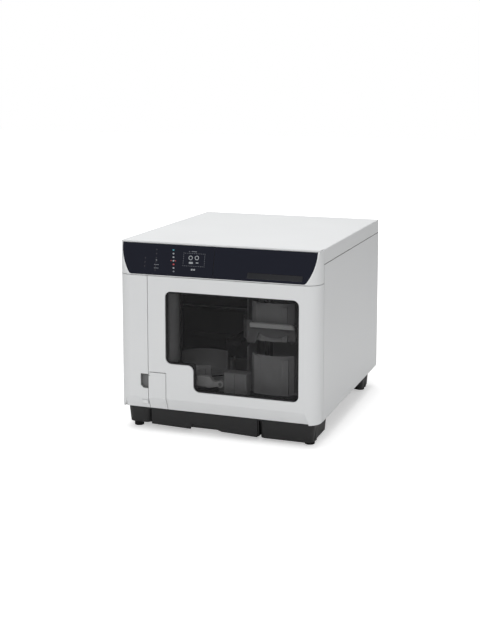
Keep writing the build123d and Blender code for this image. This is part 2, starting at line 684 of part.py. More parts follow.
SHEET = 1.5
with BuildPart() as inner_partition:
    box_between(
        (PARTITION_X, at_depth(BEZEL_DEPTH + 2), floor_top),
        (PARTITION_X + PARTITION_T, at_depth(390), SHELF_TOP - 4),
    )
save(inner_partition, "inner_partition")

# ---- stackers: open bins that hold a pile of discs, slotted towards the arm -----------------
BIN_R = 64.0
BIN_WALL = 2.5
BIN_FLOOR = 3.0
SLOT_W = 38.0
FRONT_CUT = 60.0  # the front stays open between the face plate and the rear walls


def stacker(centre, low, high, slot_side, face_x, face_w):
    """A bin round one pile of discs. The slot faces the arm column on one side."""
    towards = 90 + slot_side * (90 - slot_turn)
    with BuildPart(mode=Mode.PRIVATE) as bin_body:
        with BuildSketch(Plane.XY.offset(low)):
            with Locations(centre):
                Circle(BIN_R)
        extrude(amount=high - low)
        with BuildSketch(Plane.XY.offset(low + BIN_FLOOR)):
            with Locations(centre):
                Circle(BIN_R - BIN_WALL)
        extrude(amount=high - low, mode=Mode.SUBTRACT)
        with BuildSketch(Plane.XY.offset(low + BIN_FLOOR)):
            with Locations(Location((*centre, 0), (0, 0, 1), towards)):
                with Locations((BIN_R, 0)):
                    Rectangle(BIN_R, SLOT_W)
            for turn in (-90 - FRONT_CUT, -90 + FRONT_CUT):
                with Locations(Location((*centre, 0), (0, 0, 1), turn)):
                    with Locations((BIN_R, 0)):
                        Rectangle(BIN_R, FRONT_CUT * 0.8)
        extrude(amount=high - low, mode=Mode.SUBTRACT)
        with BuildSketch(Plane.XY.offset(low - 1)):
            with Locations(Location((*centre, 0), (0, 0, 1), towards)):
                with Locations((BIN_R / 2 + 5, 0)):
                    Rectangle(BIN_R - 20, 18)
                Circle(16)
        extrude(amount=BIN_FLOOR + 2, mode=Mode.SUBTRACT)
        face_y = centre[1] - BIN_R
        with BuildSketch(Plane.XZ.offset(-(face_y + BIN_WALL + 4))):
            with BuildLine():
                Polyline(
                    (face_x + face_w / 2, high - 6),
                    (face_x + face_w / 2, low),
                    (face_x - face_w / 2, low),
                    (face_x - face_w / 2, high),
                )
                ThreePointArc(
                    (face_x - face_w / 2, high),
                    (face_x, high - 8),
                    (face_x + face_w / 2, high - 6),
                )
            make_face()
        extrude(amount=BIN_WALL + 1)
        cylinder_up(*centre, low + BIN_FLOOR, high + 1, BIN_R - BIN_WALL, Mode.SUBTRACT)
    return bin_body.part


STACKER_2_TOP = 150.0
STACKER_3_TOP = 120.0
STACKER_1_LOW = 176.0
STACKER_1_TOP = 245.0
stacker_low = DECK_TOP + SEAT
with BuildPart() as stacker_1:
    add(stacker(right_spot, STACKER_1_LOW, STACKER_1_TOP, 1, right_spot[0], 58))
save(stacker_1, "stacker_1")
with BuildPart() as stacker_2:
    add(stacker(right_spot, stacker_low, STACKER_2_TOP, 1, right_spot[0], 64))
save(stacker_2, "stacker_2")
with BuildPart() as stacker_3:
    add(stacker(left_spot, stacker_low, STACKER_3_TOP, -1, left_spot[0], 64))
save(stacker_3, "stacker_3")

# the bracket on the right that stacker 1 hangs in: an open ring on a wall plate
CARRIER_R = BIN_R + SEAT
CARRIER_T = 5.0
CARRIER_TOP = 208.0
BAR_Z = 204.0
BAR_LEFT = 47.0
BAR_RIGHT = 137.0
bar_depth = COLUMN_DEPTH - forward_reach - BIN_R
with BuildPart() as stacker_carrier:
    with BuildSketch(Plane.XY.offset(STACKER_1_LOW)):
        with Locations(right_spot):
            Circle(CARRIER_R + CARRIER_T)
            Circle(CARRIER_R, mode=Mode.SUBTRACT)
        with Locations(Location((*right_spot, 0), (0, 0, 1), 180 - slot_turn)):
            with Locations((BIN_R, 0)):
                Rectangle(BIN_R, 2 * SLOT_W, mode=Mode.SUBTRACT)
        with Locations((right_spot[0], right_spot[1] - CARRIER_R)):
            Rectangle(72, 14, mode=Mode.SUBTRACT)
    extrude(amount=CARRIER_TOP - STACKER_1_LOW)
    with BuildSketch(Plane.XY.offset(STACKER_1_LOW - 3)):
        with Locations(right_spot):
            Circle(CARRIER_R + CARRIER_T)
            Circle(BIN_R - 5, mode=Mode.SUBTRACT)
        with Locations(Location((*right_spot, 0), (0, 0, 1), 180 - slot_turn)):
            with Locations((BIN_R, 0)):
                Rectangle(BIN_R, 2 * SLOT_W, mode=Mode.SUBTRACT)
        with Locations((right_spot[0], right_spot[1] - CARRIER_R)):
            Rectangle(72, 30, mode=Mode.SUBTRACT)
    extrude(amount=3)
    box_between(
        (right_spot[0] + CARRIER_R + 1, right_spot[1] - 20, STACKER_1_LOW - 3),
        (deck_right - 3, right_spot[1] + 34, CARRIER_TOP),
    )
    box_between(
        (deck_right - 3, right_spot[1] - 20, DECK_TOP),
        (deck_right, right_spot[1] + 34, STACKER_1_TOP),
    )
    with BuildSketch(Plane.XZ.offset(-at_depth(bar_depth - 2))):
        with BuildLine():
            Polyline(
                (BAR_LEFT, STACKER_1_LOW - 3),
                (BAR_LEFT, BAR_Z + 10),
                (BAR_LEFT + 9, BAR_Z + 10),
                (BAR_LEFT + 9, BAR_Z + 6),
                (BAR_RIGHT, BAR_Z + 6),
                (BAR_RIGHT, STACKER_1_LOW + 4),
                (BAR_RIGHT - 6, STACKER_1_LOW + 4),
                (BAR_RIGHT - 14, BAR_Z - 12),
            )
            ThreePointArc(
                (BAR_RIGHT - 14, BAR_Z - 12),
                ((BAR_LEFT + BAR_RIGHT) / 2, BAR_Z - 20),
                (BAR_LEFT + 22, BAR_Z - 12),
            )
            Polyline(
                (BAR_LEFT + 22, BAR_Z - 12),
                (BAR_LEFT + 16, STACKER_1_LOW - 3),
                (BAR_LEFT, STACKER_1_LOW - 3),
            )
        make_face()
    extrude(amount=3)
    box_between(
        (BAR_LEFT + 9, at_depth(bar_depth - 11), BAR_Z + 2),
        (BAR_RIGHT, at_depth(bar_depth - 5), BAR_Z + 6),
    )
    for left in (BAR_LEFT, BAR_RIGHT - 6):
        box_between(
            (left, at_depth(bar_depth - 2), STACKER_1_LOW + 4),
            (left + 6, right_spot[1] - 41, CARRIER_TOP - 4),
        )
    cylinder_up(*right_spot, STACKER_1_LOW, STACKER_1_TOP + 1, CARRIER_R, Mode.SUBTRACT)
save(stacker_carrier, "stacker_carrier")

# ---- front sensor housing and the lock lever beside it --------------------------------------
HOUSING_LEFT = 8.0
HOUSING_RIGHT = 52.0
HOUSING_TOP = 118.0
HOUSING_SEAM = 29.0
HOUSING_DEPTH = 44.0
LEVER_Y = 29.0
LEVER_X = 0.0
LEVER_Z = 94.0
LEVER_PIN_R = 3.0
with BuildPart() as sensor_housing:
    box_between(
        (HOUSING_LEFT, at_depth(DECK_FRONT + 1), DECK_TOP),
        (HOUSING_RIGHT, at_depth(HOUSING_DEPTH), HOUSING_TOP),
    )
    fillet(sensor_housing.edges().filter_by(Axis.Z), 3)
    chamfer(sensor_housing.faces().sort_by(Axis.Z)[-1].edges(), 1)
    box_between(
        (HOUSING_SEAM, at_depth(DECK_FRONT), DECK_TOP),
        (HOUSING_SEAM + 0.8, at_depth(DECK_FRONT + 2.2), HOUSING_TOP + 1),
        Mode.SUBTRACT,
    )
    box_between(
        (LEVER_X - 5, at_depth(LEVER_Y + 6), DECK_TOP),
        (HOUSING_LEFT + 1, at_depth(LEVER_Y + 10), LEVER_Z + 6),
    )
    cylinder_along_y(LEVER_X, LEVER_Z, at_depth(LEVER_Y - 6), at_depth(LEVER_Y + 6), LEVER_PIN_R)
save(sensor_housing, "sensor_housing")

with BuildPart() as lock_lever:
    with BuildSketch(Plane.XZ.offset(-at_depth(LEVER_Y + 5))):
        with Locations((LEVER_X, LEVER_Z)):
            Circle(6.5)
        with BuildLine():
            Polyline(
                (LEVER_X, LEVER_Z - 4),
                (LEVER_X, LEVER_Z + 4),
                (-14, LEVER_Z + 4),
                (-20, LEVER_Z + 12),
                (-44, LEVER_Z + 12),
                (-46, LEVER_Z - 6),
                (-20, LEVER_Z - 8),
                close=True,
            )
        make_face()
    extrude(amount=10)
    cylinder_along_y(
        LEVER_X, LEVER_Z, at_depth(LEVER_Y - 9), at_depth(LEVER_Y + 9), LEVER_PIN_R + RUN, Mode.SUBTRACT
    )
    fillet(lock_lever.edges().filter_by(Axis.Y).group_by(Axis.X)[0], 3)
save(lock_lever, "lock_lever")

# ---- disc arm: column, lead screw, carriage, arm and gripper ---------------------------------
ROD_R = 6.0
COLUMN_TOP = 303.0
SCREW_R = 4.0
SCREW_BACK = 12.0
SCREW_LEAD = 20.0
BRACKET_BACK = 24.0  # the upright of the column's bracket stands this far behind the screw
THREAD_DEPTH = 0.6
CARRIAGE_LOW = 171.0
CARRIAGE_H = 28.0
CARRIAGE_R = 14.0
SLEEVE_R = 9.5  # the arm turns on a sleeve under its carriage
ARM_LOW = 160.0
ARM_T = 8.0
ARM_WEB = 2.0  # floor left under the arm's lightening pocket
ARM_W = 16.0
HEAD_R = 14.0
screw = (COLUMN_X + SCREW_AHEAD, at_depth(COLUMN_DEPTH + SCREW_BACK))
park_spot = (COLUMN_X, at_depth(COLUMN_DEPTH - REACH))
GRIP_R = 5.2
FINGER_H = 7.0

with BuildPart() as arm_column:
    cylinder_up(*column, floor_top, COLUMN_TOP, ROD_R)
    chamfer(arm_column.edges().group_by(Axis.Z)[-1], 0.8)
save(arm_column, "arm_column")

with BuildPart() as column_mount:
    for low, high in ((COLUMN_TOP - 5, COLUMN_TOP), (floor_top, floor_top + 8)):
        with BuildSketch(Plane.XY.offset(low)):
            with Locations(column):
                Circle(13)
            with Locations(screw):
                Circle(10)
            with Locations(((column[0] + screw[0]) / 2, (column[1] + screw[1]) / 2)):
                Rectangle(SCREW_AHEAD, 18)
            with Locations(((column[0] + screw[0]) / 2, screw[1] + BRACKET_BACK / 2)):
                Rectangle(SCREW_AHEAD, BRACKET_BACK)
            with Locations(column):
                Circle(ROD_R + RUN, mode=Mode.SUBTRACT)
            with Locations(screw):
                Circle(SCREW_R + RUN, mode=Mode.SUBTRACT)
        extrude(amount=high - low)
    box_between(
        (column[0], screw[1] + BRACKET_BACK - 4, floor_top),
        (screw[0], screw[1] + BRACKET_BACK, COLUMN_TOP),
    )
save(column_mount, "column_mount")

MOTOR_SIDE = 35.0
MOTOR_H = 30.0
SHAFT_R = 2.5
SHAFT_LENGTH = 8.0
with BuildPart() as lead_screw:
    cylinder_up(*screw, floor_top + SEAT, COLUMN_TOP, SCREW_R - THREAD_DEPTH)
    for low, high in ((floor_top + SEAT, floor_top + 10), (COLUMN_TOP - 7, COLUMN_TOP)):
        cylinder_up(*screw, low, high, SCREW_R)
    turns = int((COLUMN_TOP - floor_top - 30) / (SCREW_LEAD / 4))
    for k in range(turns):
        with BuildSketch(Plane.XY.offset(floor_top + 15 + k * SCREW_LEAD / 4)):
            with Locations(screw):
                RegularPolygon(SCREW_R, 8)
        extrude(amount=SCREW_LEAD / 8)
    cylinder_up(*screw, COLUMN_TOP, COLUMN_TOP + SHAFT_LENGTH, SHAFT_R)
save(lead_screw, "lead_screw")

with BuildPart() as lift_motor:
    with BuildSketch(Plane.XY.offset(COLUMN_TOP)):
        with Locations((screw[0], screw[1])):
            RectangleRounded(MOTOR_SIDE, MOTOR_SIDE, 4)
    extrude(amount=MOTOR_H)
    chamfer(lift_motor.edges().group_by(Axis.Z)[-1], 1)
    cylinder_up(*screw, COLUMN_TOP - 1, COLUMN_TOP + SHAFT_LENGTH + SEAT, SHAFT_R + RUN, Mode.SUBTRACT)
save(lift_motor, "lift_motor")

with BuildPart() as arm_carriage:
    with BuildSketch(Plane.XY.offset(CARRIAGE_LOW)):
        with Locations(column):
            Circle(CARRIAGE_R)
        with Locations(screw):
            Circle(8)
        with Locations(((column[0] + screw[0]) / 2, (column[1] + screw[1]) / 2)):
            Rectangle(SCREW_AHEAD - 4, 14)
    extrude(amount=CARRIAGE_H)
    cylinder_up(*column, ARM_LOW, CARRIAGE_LOW, SLEEVE_R)
    cylinder_up(*column, ARM_LOW - 1, CARRIAGE_LOW + CARRIAGE_H + 1, ROD_R + RUN, Mode.SUBTRACT)
    cylinder_up(*screw, CARRIAGE_LOW - 1, CARRIAGE_LOW + CARRIAGE_H + 1, SCREW_R + SEAT, Mode.SUBTRACT)
save(arm_carriage, "arm_carriage")

with BuildPart() as disc_arm:
    with BuildSketch(Plane.XY.offset(ARM_LOW)):
        with Locations((column[0], (column[1] + park_spot[1]) / 2)):
            Rectangle(ARM_W, REACH)
    extrude(amount=ARM_T)
    with BuildSketch(Plane.XY.offset(ARM_LOW + ARM_WEB)):
        with Locations((column[0], (column[1] + park_spot[1]) / 2)):
            RectangleRounded(ARM_W - 5, REACH - 3 * HEAD_R, 3)
    extrude(amount=ARM_T, mode=Mode.SUBTRACT)
    cylinder_up(*column, ARM_LOW, CARRIAGE_LOW - SEAT, CARRIAGE_R - 0.5)
    cylinder_up(*park_spot, ARM_LOW - 0.8, ARM_LOW + ARM_T, HEAD_R)
    cylinder_up(*column, ARM_LOW - 1, CARRIAGE_LOW, SLEEVE_R + RUN, Mode.SUBTRACT)
    for k in range(3):
        with Locations(Location((*park_spot, ARM_LOW - 1), (0, 0, 1), 90 + 120 * k)):
            with Locations((GRIP_R - 1, 0, 2)):
                Box(8, 3 + 2 * SEAT, 6, mode=Mode.SUBTRACT)
save(disc_arm, "disc_arm")

for k in range(3):
    with BuildPart() as gripper_finger:
        with Locations(Location((*park_spot, ARM_LOW), (0, 0, 1), 90 + 120 * k)):
            with Locations((GRIP_R - 1.5, 0, -FINGER_H / 2 + 1)):
                Box(2.4, 3, FINGER_H + 6)
            with Locations((GRIP_R - 1, 0, -FINGER_H + 1)):
                Box(3, 3, 1)
    save(gripper_finger, f"gripper_finger_{k + 1}")

# ---- drive and printer trays, alike because the arm serves both ------------------------------
DRIVE_W = 146.0
DRIVE_H = 41.3
DRIVE_D = 190.0
MACHINE_ROOM = 3.0  # between the arm's carriage and the machines behind it
MACHINE_FRONT = COLUMN_DEPTH + CARRIAGE_R + MACHINE_ROOM  # depth of the machines' faces
TRAY_W = 128.0
TRAY_T = 4.0
TRAY_BEHIND = 110.0  # tray behind the disc's middle
TRAY_AHEAD = 66.0  # and ahead of it
TRAY_FACE_T = 4.0
CLOSED_DISC = MACHINE_FRONT + TRAY_AHEAD
machine_x = left_spot[0]


def disc_tray(z, face_h):
    """A tray with a stepped disc well and a face plate, closed, its underside at z."""
    disc = (machine_x, at_depth(CLOSED_DISC))
    with BuildPart(mode=Mode.PRIVATE) as tray:
        box_between(
            (machine_x - TRAY_W / 2, at_depth(MACHINE_FRONT - 1), z),
            (machine_x + TRAY_W / 2, disc[1] + TRAY_BEHIND, z + TRAY_T),
        )
        cylinder_up(*disc, z + 1.8, z + TRAY_T + 1, DISC_R + 1)
        cylinder_up(*disc, z + 1.8, z + TRAY_T + 1, DISC_R + 1, Mode.SUBTRACT)
        with BuildSketch(Plane.XY.offset(z - 1)):
            with Locations(disc):
                Circle(21)
            with Locations((disc[0], disc[1] + 50)):
                SlotOverall(90, 34, rotation=90)
        extrude(amount=TRAY_T + 2, mode=Mode.SUBTRACT)
        box_between(
            (machine_x - TRAY_W / 2 - 1, at_depth(MACHINE_FRONT - TRAY_FACE_T), z - 2),
            (machine_x + TRAY_W / 2 - 1, at_depth(MACHINE_FRONT - SEAT), z - 2 + face_h),
        )
        fillet(tray.edges().filter_by(Axis.X).group_by(Axis.Y)[0], 1)
    return tray.part


DRIVE_LIP = 6.0  # solid face of a drive's case
PLUG_W = 72.0  # opening for the plugs in a drive's back
PLUG_H = 8.0
PLUG_Z = 6.0
DRIVE_1_Z = 199.0
DRIVE_2_Z = 243.0
for name, low in (("drive_1", DRIVE_1_Z), ("drive_2", DRIVE_2_Z)):
    tray_z = low + 22
    with BuildPart() as drive_case:
        box_between(
            (machine_x - DRIVE_W / 2, at_depth(MACHINE_FRONT), low),
            (machine_x + DRIVE_W / 2, at_depth(MACHINE_FRONT + DRIVE_D), low + DRIVE_H),
        )
        chamfer(drive_case.edges().filter_by(Axis.X).group_by(Axis.Y)[0], 1)
        box_between(
            (machine_x - TRAY_W / 2 - SLIDE, at_depth(MACHINE_FRONT - 1), tray_z - SLIDE),
            (
                machine_x + TRAY_W / 2 + SLIDE,
                at_depth(CLOSED_DISC + TRAY_BEHIND + 3),
                tray_z + TRAY_T + 6,
            ),
            Mode.SUBTRACT,
        )
        box_between(
            (machine_x - DRIVE_W / 2 + SHEET, at_depth(MACHINE_FRONT + DRIVE_LIP), tray_z),
            (
                machine_x + DRIVE_W / 2 - SHEET,
                at_depth(MACHINE_FRONT + DRIVE_D - SHEET),
                low + DRIVE_H - SHEET,
            ),
            Mode.SUBTRACT,
        )
        box_between(
            (machine_x - DRIVE_W / 2 + SHEET, at_depth(MACHINE_FRONT + DRIVE_LIP), low + SHEET),
            (
                machine_x + DRIVE_W / 2 - SHEET,
                at_depth(MACHINE_FRONT + DRIVE_D - SHEET),
                tray_z - SLIDE - SHEET,
            ),
            Mode.SUBTRACT,
        )
        box_between(
            (machine_x - PLUG_W / 2, at_depth(MACHINE_FRONT + DRIVE_D - 2 * SHEET), low + PLUG_Z),
            (machine_x + PLUG_W / 2, at_depth(MACHINE_FRONT + DRIVE_D + 1), low + PLUG_Z + PLUG_H),
            Mode.SUBTRACT,
        )
        box_between(
            (machine_x + 44, at_depth(MACHINE_FRONT - 1), low + 6),
            (machine_x + 56, at_depth(MACHINE_FRONT + 1), low + 11),
            Mode.SUBTRACT,
        )
    save(drive_case, f"{name}_case")
    with BuildPart() as drive_tray:
        add(disc_tray(tray_z, 11))
    save(drive_tray, f"{name}_tray")

# ---- ink-jet label printer under the drives ---------------------------------------------------
PRINTER_LOW = 100.0
PRINTER_TOP = 194.0
PRINTER_D = 205.0
PRINTER_TRAY_Z = 137.0
PRINTER_WALL = 3.0
printer_back = MACHINE_FRONT + PRINTER_D
ROD_DEPTH = MACHINE_FRONT + 62.0
ROD_Z = 168.0
CARRIAGE_ROD_R = 4.0
HEAD_W = 52.0
with BuildPart() as printer_case:
    box_between(
        (machine_x - DRIVE_W / 2, at_depth(MACHINE_FRONT), PRINTER_LOW),
        (machine_x + DRIVE_W / 2, at_depth(printer_back), PRINTER_TOP),
    )
    fillet(printer_case.edges().filter_by(Axis.X).group_by(Axis.Y)[0].group_by(Axis.Z)[-1], 5)
    box_between(
        (machine_x - DRIVE_W / 2 + PRINTER_WALL, at_depth(MACHINE_FRONT + PRINTER_WALL), PRINTER_TRAY_Z - SLIDE),
        (machine_x + DRIVE_W / 2 - PRINTER_WALL, at_depth(printer_back - PRINTER_WALL), PRINTER_TOP - 4),
        Mode.SUBTRACT,
    )
    box_between(
        (machine_x - TRAY_W / 2 - SLIDE, at_depth(MACHINE_FRONT - 1), PRINTER_TRAY_Z - SLIDE),
        (machine_x + TRAY_W / 2 + SLIDE, at_depth(MACHINE_FRONT + PRINTER_WALL + 1), PRINTER_TRAY_Z + TRAY_T + 5),
        Mode.SUBTRACT,
    )
    for side in (-1, 1):
        x_near = machine_x + side * (DRIVE_W / 2 - PRINTER_WALL)
        x_far = machine_x + side * (TRAY_W / 2 + SLIDE)
        x_low, x_high = sorted((x_near, x_far))
        box_between(
            (x_low, at_depth(MACHINE_FRONT + PRINTER_WALL), PRINTER_TRAY_Z - SLIDE),
            (x_high, at_depth(printer_back - PRINTER_WALL), PRINTER_TRAY_Z + TRAY_T),
        )
save(printer_case, "printer_case")

with BuildPart() as printer_tray:
    add(disc_tray(PRINTER_TRAY_Z, 12))
save(printer_tray, "printer_tray")

with BuildPart() as carriage_rod:
    cylinder_along_x(
        at_depth(ROD_DEPTH),
        ROD_Z,
        machine_x - DRIVE_W / 2 + PRINTER_WALL,
        machine_x + DRIVE_W / 2 - PRINTER_WALL,
        CARRIAGE_ROD_R,
    )
save(carriage_rod, "carriage_rod")

with BuildPart() as print_carriage:
    box_between(
        (machine_x - HEAD_W / 2, at_depth(ROD_DEPTH - 12), PRINTER_TRAY_Z + TRAY_T + 3),
        (machine_x + HEAD_W / 2, at_depth(ROD_DEPTH + 34), ROD_Z + 16),
    )
    chamfer(print_carriage.edges().filter_by(Axis.X).group_by(Axis.Z)[-1], 5)
    cylinder_along_x(
        at_depth(ROD_DEPTH),
        ROD_Z,
        machine_x - HEAD_W,
        machine_x + HEAD_W,
        CARRIAGE_ROD_R + RUN,
        Mode.SUBTRACT,
    )
save(print_carriage, "print_carriage")

# ---- sheet-metal rack that carries the printer and both drives --------------------------------
rack_left = PARTITION_X + PARTITION_T
rack_right = machine_x + DRIVE_W / 2 + SEAT
with BuildPart() as drive_cage:
    box_between(
        (rack_right, at_depth(MACHINE_FRONT + 6), floor_top),
        (rack_right + SHEET, at_depth(MACHINE_FRONT + PRINTER_D), DRIVE_2_Z + DRIVE_H + 4),
    )
    for low in (PRINTER_LOW - SHEET, PRINTER_TOP + 1.5, DRIVE_2_Z - SHEET):
        box_between(
            (rack_left, at_depth(MACHINE_FRONT + 6), low),
            (rack_right, at_depth(MACHINE_FRONT + PRINTER_D), low + SHEET),
        )
    box_between(
        (rack_left, at_depth(MACHINE_FRONT + 6), floor_top),
        (rack_right, at_depth(MACHINE_FRONT + 6 + SHEET), PRINTER_LOW),
    )
save(drive_cage, "drive_cage")

# ---- ink bay: a rack of six cartridges behind the ink cover -----------------------------------
INK_COUNT = 6
INK_PITCH = 36.0
INK_W = 32.0
INK_H = 30.0
INK_LENGTH = 118.0
INK_FRONT = 47.0  # the open ink cover's wrapped edge turns in front of it
INK_LOW = 64.0
BAY_WALL = 2.0
bay_left = -HALF + FLOOR_IN
bay_right = PARTITION_X
bay_x = (bay_left + bay_right) / 2
ink_slots = [INK_LOW + k * INK_PITCH for k in range(INK_COUNT)]
with BuildPart() as ink_bay:
    box_between(
        (bay_left, at_depth(INK_FRONT + 14), floor_top),
        (bay_right, at_depth(INK_FRONT + 14 + INK_LENGTH), ink_slots[-1] + INK_PITCH),
    )
    for z in ink_slots:
        box_between(
            (bay_x - INK_W / 2 - SLIDE, at_depth(INK_FRONT), z - SLIDE),
            (bay_x + INK_W / 2 + SLIDE, at_depth(INK_FRONT + INK_LENGTH + SLIDE), z + INK_H + SLIDE),
            Mode.SUBTRACT,
        )
    box_between(
        (bay_x - INK_W / 2, at_depth(INK_FRONT), floor_top),
        (bay_x + INK_W / 2, at_depth(INK_FRONT + INK_LENGTH), INK_LOW - SLIDE - BAY_WALL),
        Mode.SUBTRACT,
    )
save(ink_bay, "ink_bay")

for k, z in enumerate(ink_slots):
    with BuildPart() as ink_cartridge:
        box_between(
            (bay_x - INK_W / 2, at_depth(INK_FRONT), z),
            (bay_x + INK_W / 2, at_depth(INK_FRONT + INK_LENGTH), z + INK_H),
        )
        fillet(ink_cartridge.edges().filter_by(Axis.X).group_by(Axis.Y)[0], 2.5)
        with Locations((bay_x, at_depth(INK_FRONT), z + INK_H / 2)):
            Box(14, 8, 16, mode=Mode.SUBTRACT)
        box_between(
            (bay_x - 2, at_depth(INK_FRONT), z + 2),
            (bay_x + 2, at_depth(INK_FRONT + 4), z + INK_H - 2),
        )
    save(ink_cartridge, f"ink_cartridge_{k + 1}")

# ---- power supply, control board, fan and rear panel ------------------------------------------
SUPPLY_LEFT = 60.0
SUPPLY_RIGHT = 176.0
SUPPLY_FRONT = MACHINE_FRONT + 37.0
SUPPLY_BACK = CABINET_DEPTH - 21.0
SUPPLY_TOP = 112.0
rear_inner = CABINET_DEPTH - PANEL
with BuildPart() as power_supply:
    box_between(
        (SUPPLY_LEFT, at_depth(SUPPLY_FRONT), floor_top),
        (SUPPLY_RIGHT, at_depth(SUPPLY_BACK), SUPPLY_TOP),
    )
    box_between(
        (SUPPLY_LEFT + SHEET, at_depth(SUPPLY_FRONT + SHEET), floor_top + SHEET),
        (SUPPLY_RIGHT - SHEET, at_depth(SUPPLY_BACK - SHEET), SUPPLY_TOP - SHEET),
        Mode.SUBTRACT,
    )
    for k in range(9):
        with Locations((SUPPLY_LEFT + 20 + k * 9.5, at_depth(SUPPLY_FRONT), (SUPPLY_TOP + floor_top) / 2)):
            Box(4, 3, 46, mode=Mode.SUBTRACT)
save(power_supply, "power_supply")

BOARD_Z = 124.0
BOARD_T = 1.6
with BuildPart() as control_board:
    box_between(
        (SUPPLY_LEFT, at_depth(SUPPLY_FRONT), BOARD_Z),
        (SUPPLY_RIGHT, at_depth(SUPPLY_BACK), BOARD_Z + BOARD_T),
    )
    for x in (SUPPLY_LEFT + 6, SUPPLY_RIGHT - 6):
        for depth in (SUPPLY_FRONT + 8, SUPPLY_BACK - 8):
            cylinder_up(x, at_depth(depth), SUPPLY_TOP, BOARD_Z, 3)
    for x, depth, w, d, h in (
        (40, 64, 34, 34, 5),
        (80, 104, 22, 30, 4),
        (36, 144, 40, 12, 9),
        (90, 36, 16, 40, 12),
    ):
        with Locations((SUPPLY_LEFT + x, at_depth(SUPPLY_FRONT + depth), BOARD_Z + BOARD_T + h / 2)):
            Box(w, d, h)
save(control_board, "control_board")

FAN_X = 92.0
FAN_Z = 224.0
FAN_SIDE = 92.0
FAN_T = 25.0
FAN_BORE = 43.0
HUB_R = 19.0
BLADES = 7
fan_front = CABINET_DEPTH - PANEL - FAN_T
fan_mid = fan_front + FAN_T / 2
with BuildPart() as fan_frame:
    with BuildSketch(Plane.XZ.offset(-at_depth(rear_inner))):
        with Locations((FAN_X, FAN_Z)):
            RectangleRounded(FAN_SIDE, FAN_SIDE, 5)
            Circle(FAN_BORE, mode=Mode.SUBTRACT)
    extrude(amount=FAN_T)
    for turn in (45, 135):
        with BuildSketch(Plane.XZ.offset(-at_depth(rear_inner))):
            with Locations((FAN_X, FAN_Z)):
                Rectangle(2 * FAN_BORE + 2, 5, rotation=turn)
                Circle(HUB_R - 2)
        extrude(amount=3)
    cylinder_along_y(FAN_X, FAN_Z, at_depth(fan_front + 8), at_depth(rear_inner - 2), 2.0)
save(fan_frame, "fan_frame")

with BuildPart() as fan_impeller:
    cylinder_along_y(FAN_X, FAN_Z, at_depth(fan_front + 3), at_depth(rear_inner - 4), HUB_R)
    for k in range(BLADES):
        blade_plane = Plane(
            origin=(FAN_X, at_depth(fan_mid - 1), FAN_Z),
            x_dir=(cos(2 * pi * k / BLADES), 0, sin(2 * pi * k / BLADES)),
            z_dir=(-sin(2 * pi * k / BLADES) * 0.8, 0.6, cos(2 * pi * k / BLADES) * 0.8),
        )
        with BuildSketch(blade_plane):
            with Locations(((HUB_R + FAN_BORE - 2) / 2, 0)):
                Rectangle(FAN_BORE - HUB_R - 1, 20)
        extrude(amount=1.4)
    cylinder_along_y(FAN_X, FAN_Z, at_depth(fan_front), at_depth(rear_inner), 2.0 + RUN, Mode.SUBTRACT)
save(fan_impeller, "fan_impeller")

INLET_X = 150.0
INLET_Z = 76.0
INLET_W = 27.0
INLET_H = 20.0
ROCKER_X = INLET_X
ROCKER_Z = INLET_Z + 26.0
ROCKER_W = 13.0
ROCKER_H = 19.0
VENT_X = -92.0
VENT_Z = 236.0
VENT_W = 22.0
VENT_H = 3.0
VENT_COLUMNS = 4
VENT_ROWS = 9
USB_X = 92.0
USB_Z = 150.0
USB_W = 12.0
USB_H = 11.0
ROCKER_PIN_R = 1.5
rocker_depth = CABINET_DEPTH - 3.0
with BuildPart() as rear_panel:
    box_between(
        (-HALF, at_depth(rear_inner), UNDERSIDE),
        (HALF, at_depth(CABINET_DEPTH), SHELF_TOP - SEAT),
    )
    cylinder_along_y(FAN_X, FAN_Z, at_depth(rear_inner - 1), at_depth(CABINET_DEPTH + 1), FAN_BORE, Mode.SUBTRACT)
    for x, z, w, h in (
        (INLET_X, INLET_Z, INLET_W, INLET_H),
        (ROCKER_X, ROCKER_Z, ROCKER_W + 4, ROCKER_H + 4),
        (USB_X, USB_Z, USB_W, USB_H),
    ):
        with Locations((x, at_depth(CABINET_DEPTH - PANEL / 2), z)):
            Box(w + 2 * SEAT, PANEL + 2, h + 2 * SEAT, mode=Mode.SUBTRACT)
    with BuildSketch(Plane.XZ.offset(-at_depth(CABINET_DEPTH + 1))):
        with Locations((VENT_X, VENT_Z)):
            with GridLocations(VENT_W + 6, 3 * VENT_H, VENT_COLUMNS, VENT_ROWS):
                Rectangle(VENT_W, VENT_H)
    extrude(amount=PANEL + 2, mode=Mode.SUBTRACT)
save(rear_panel, "rear_panel")

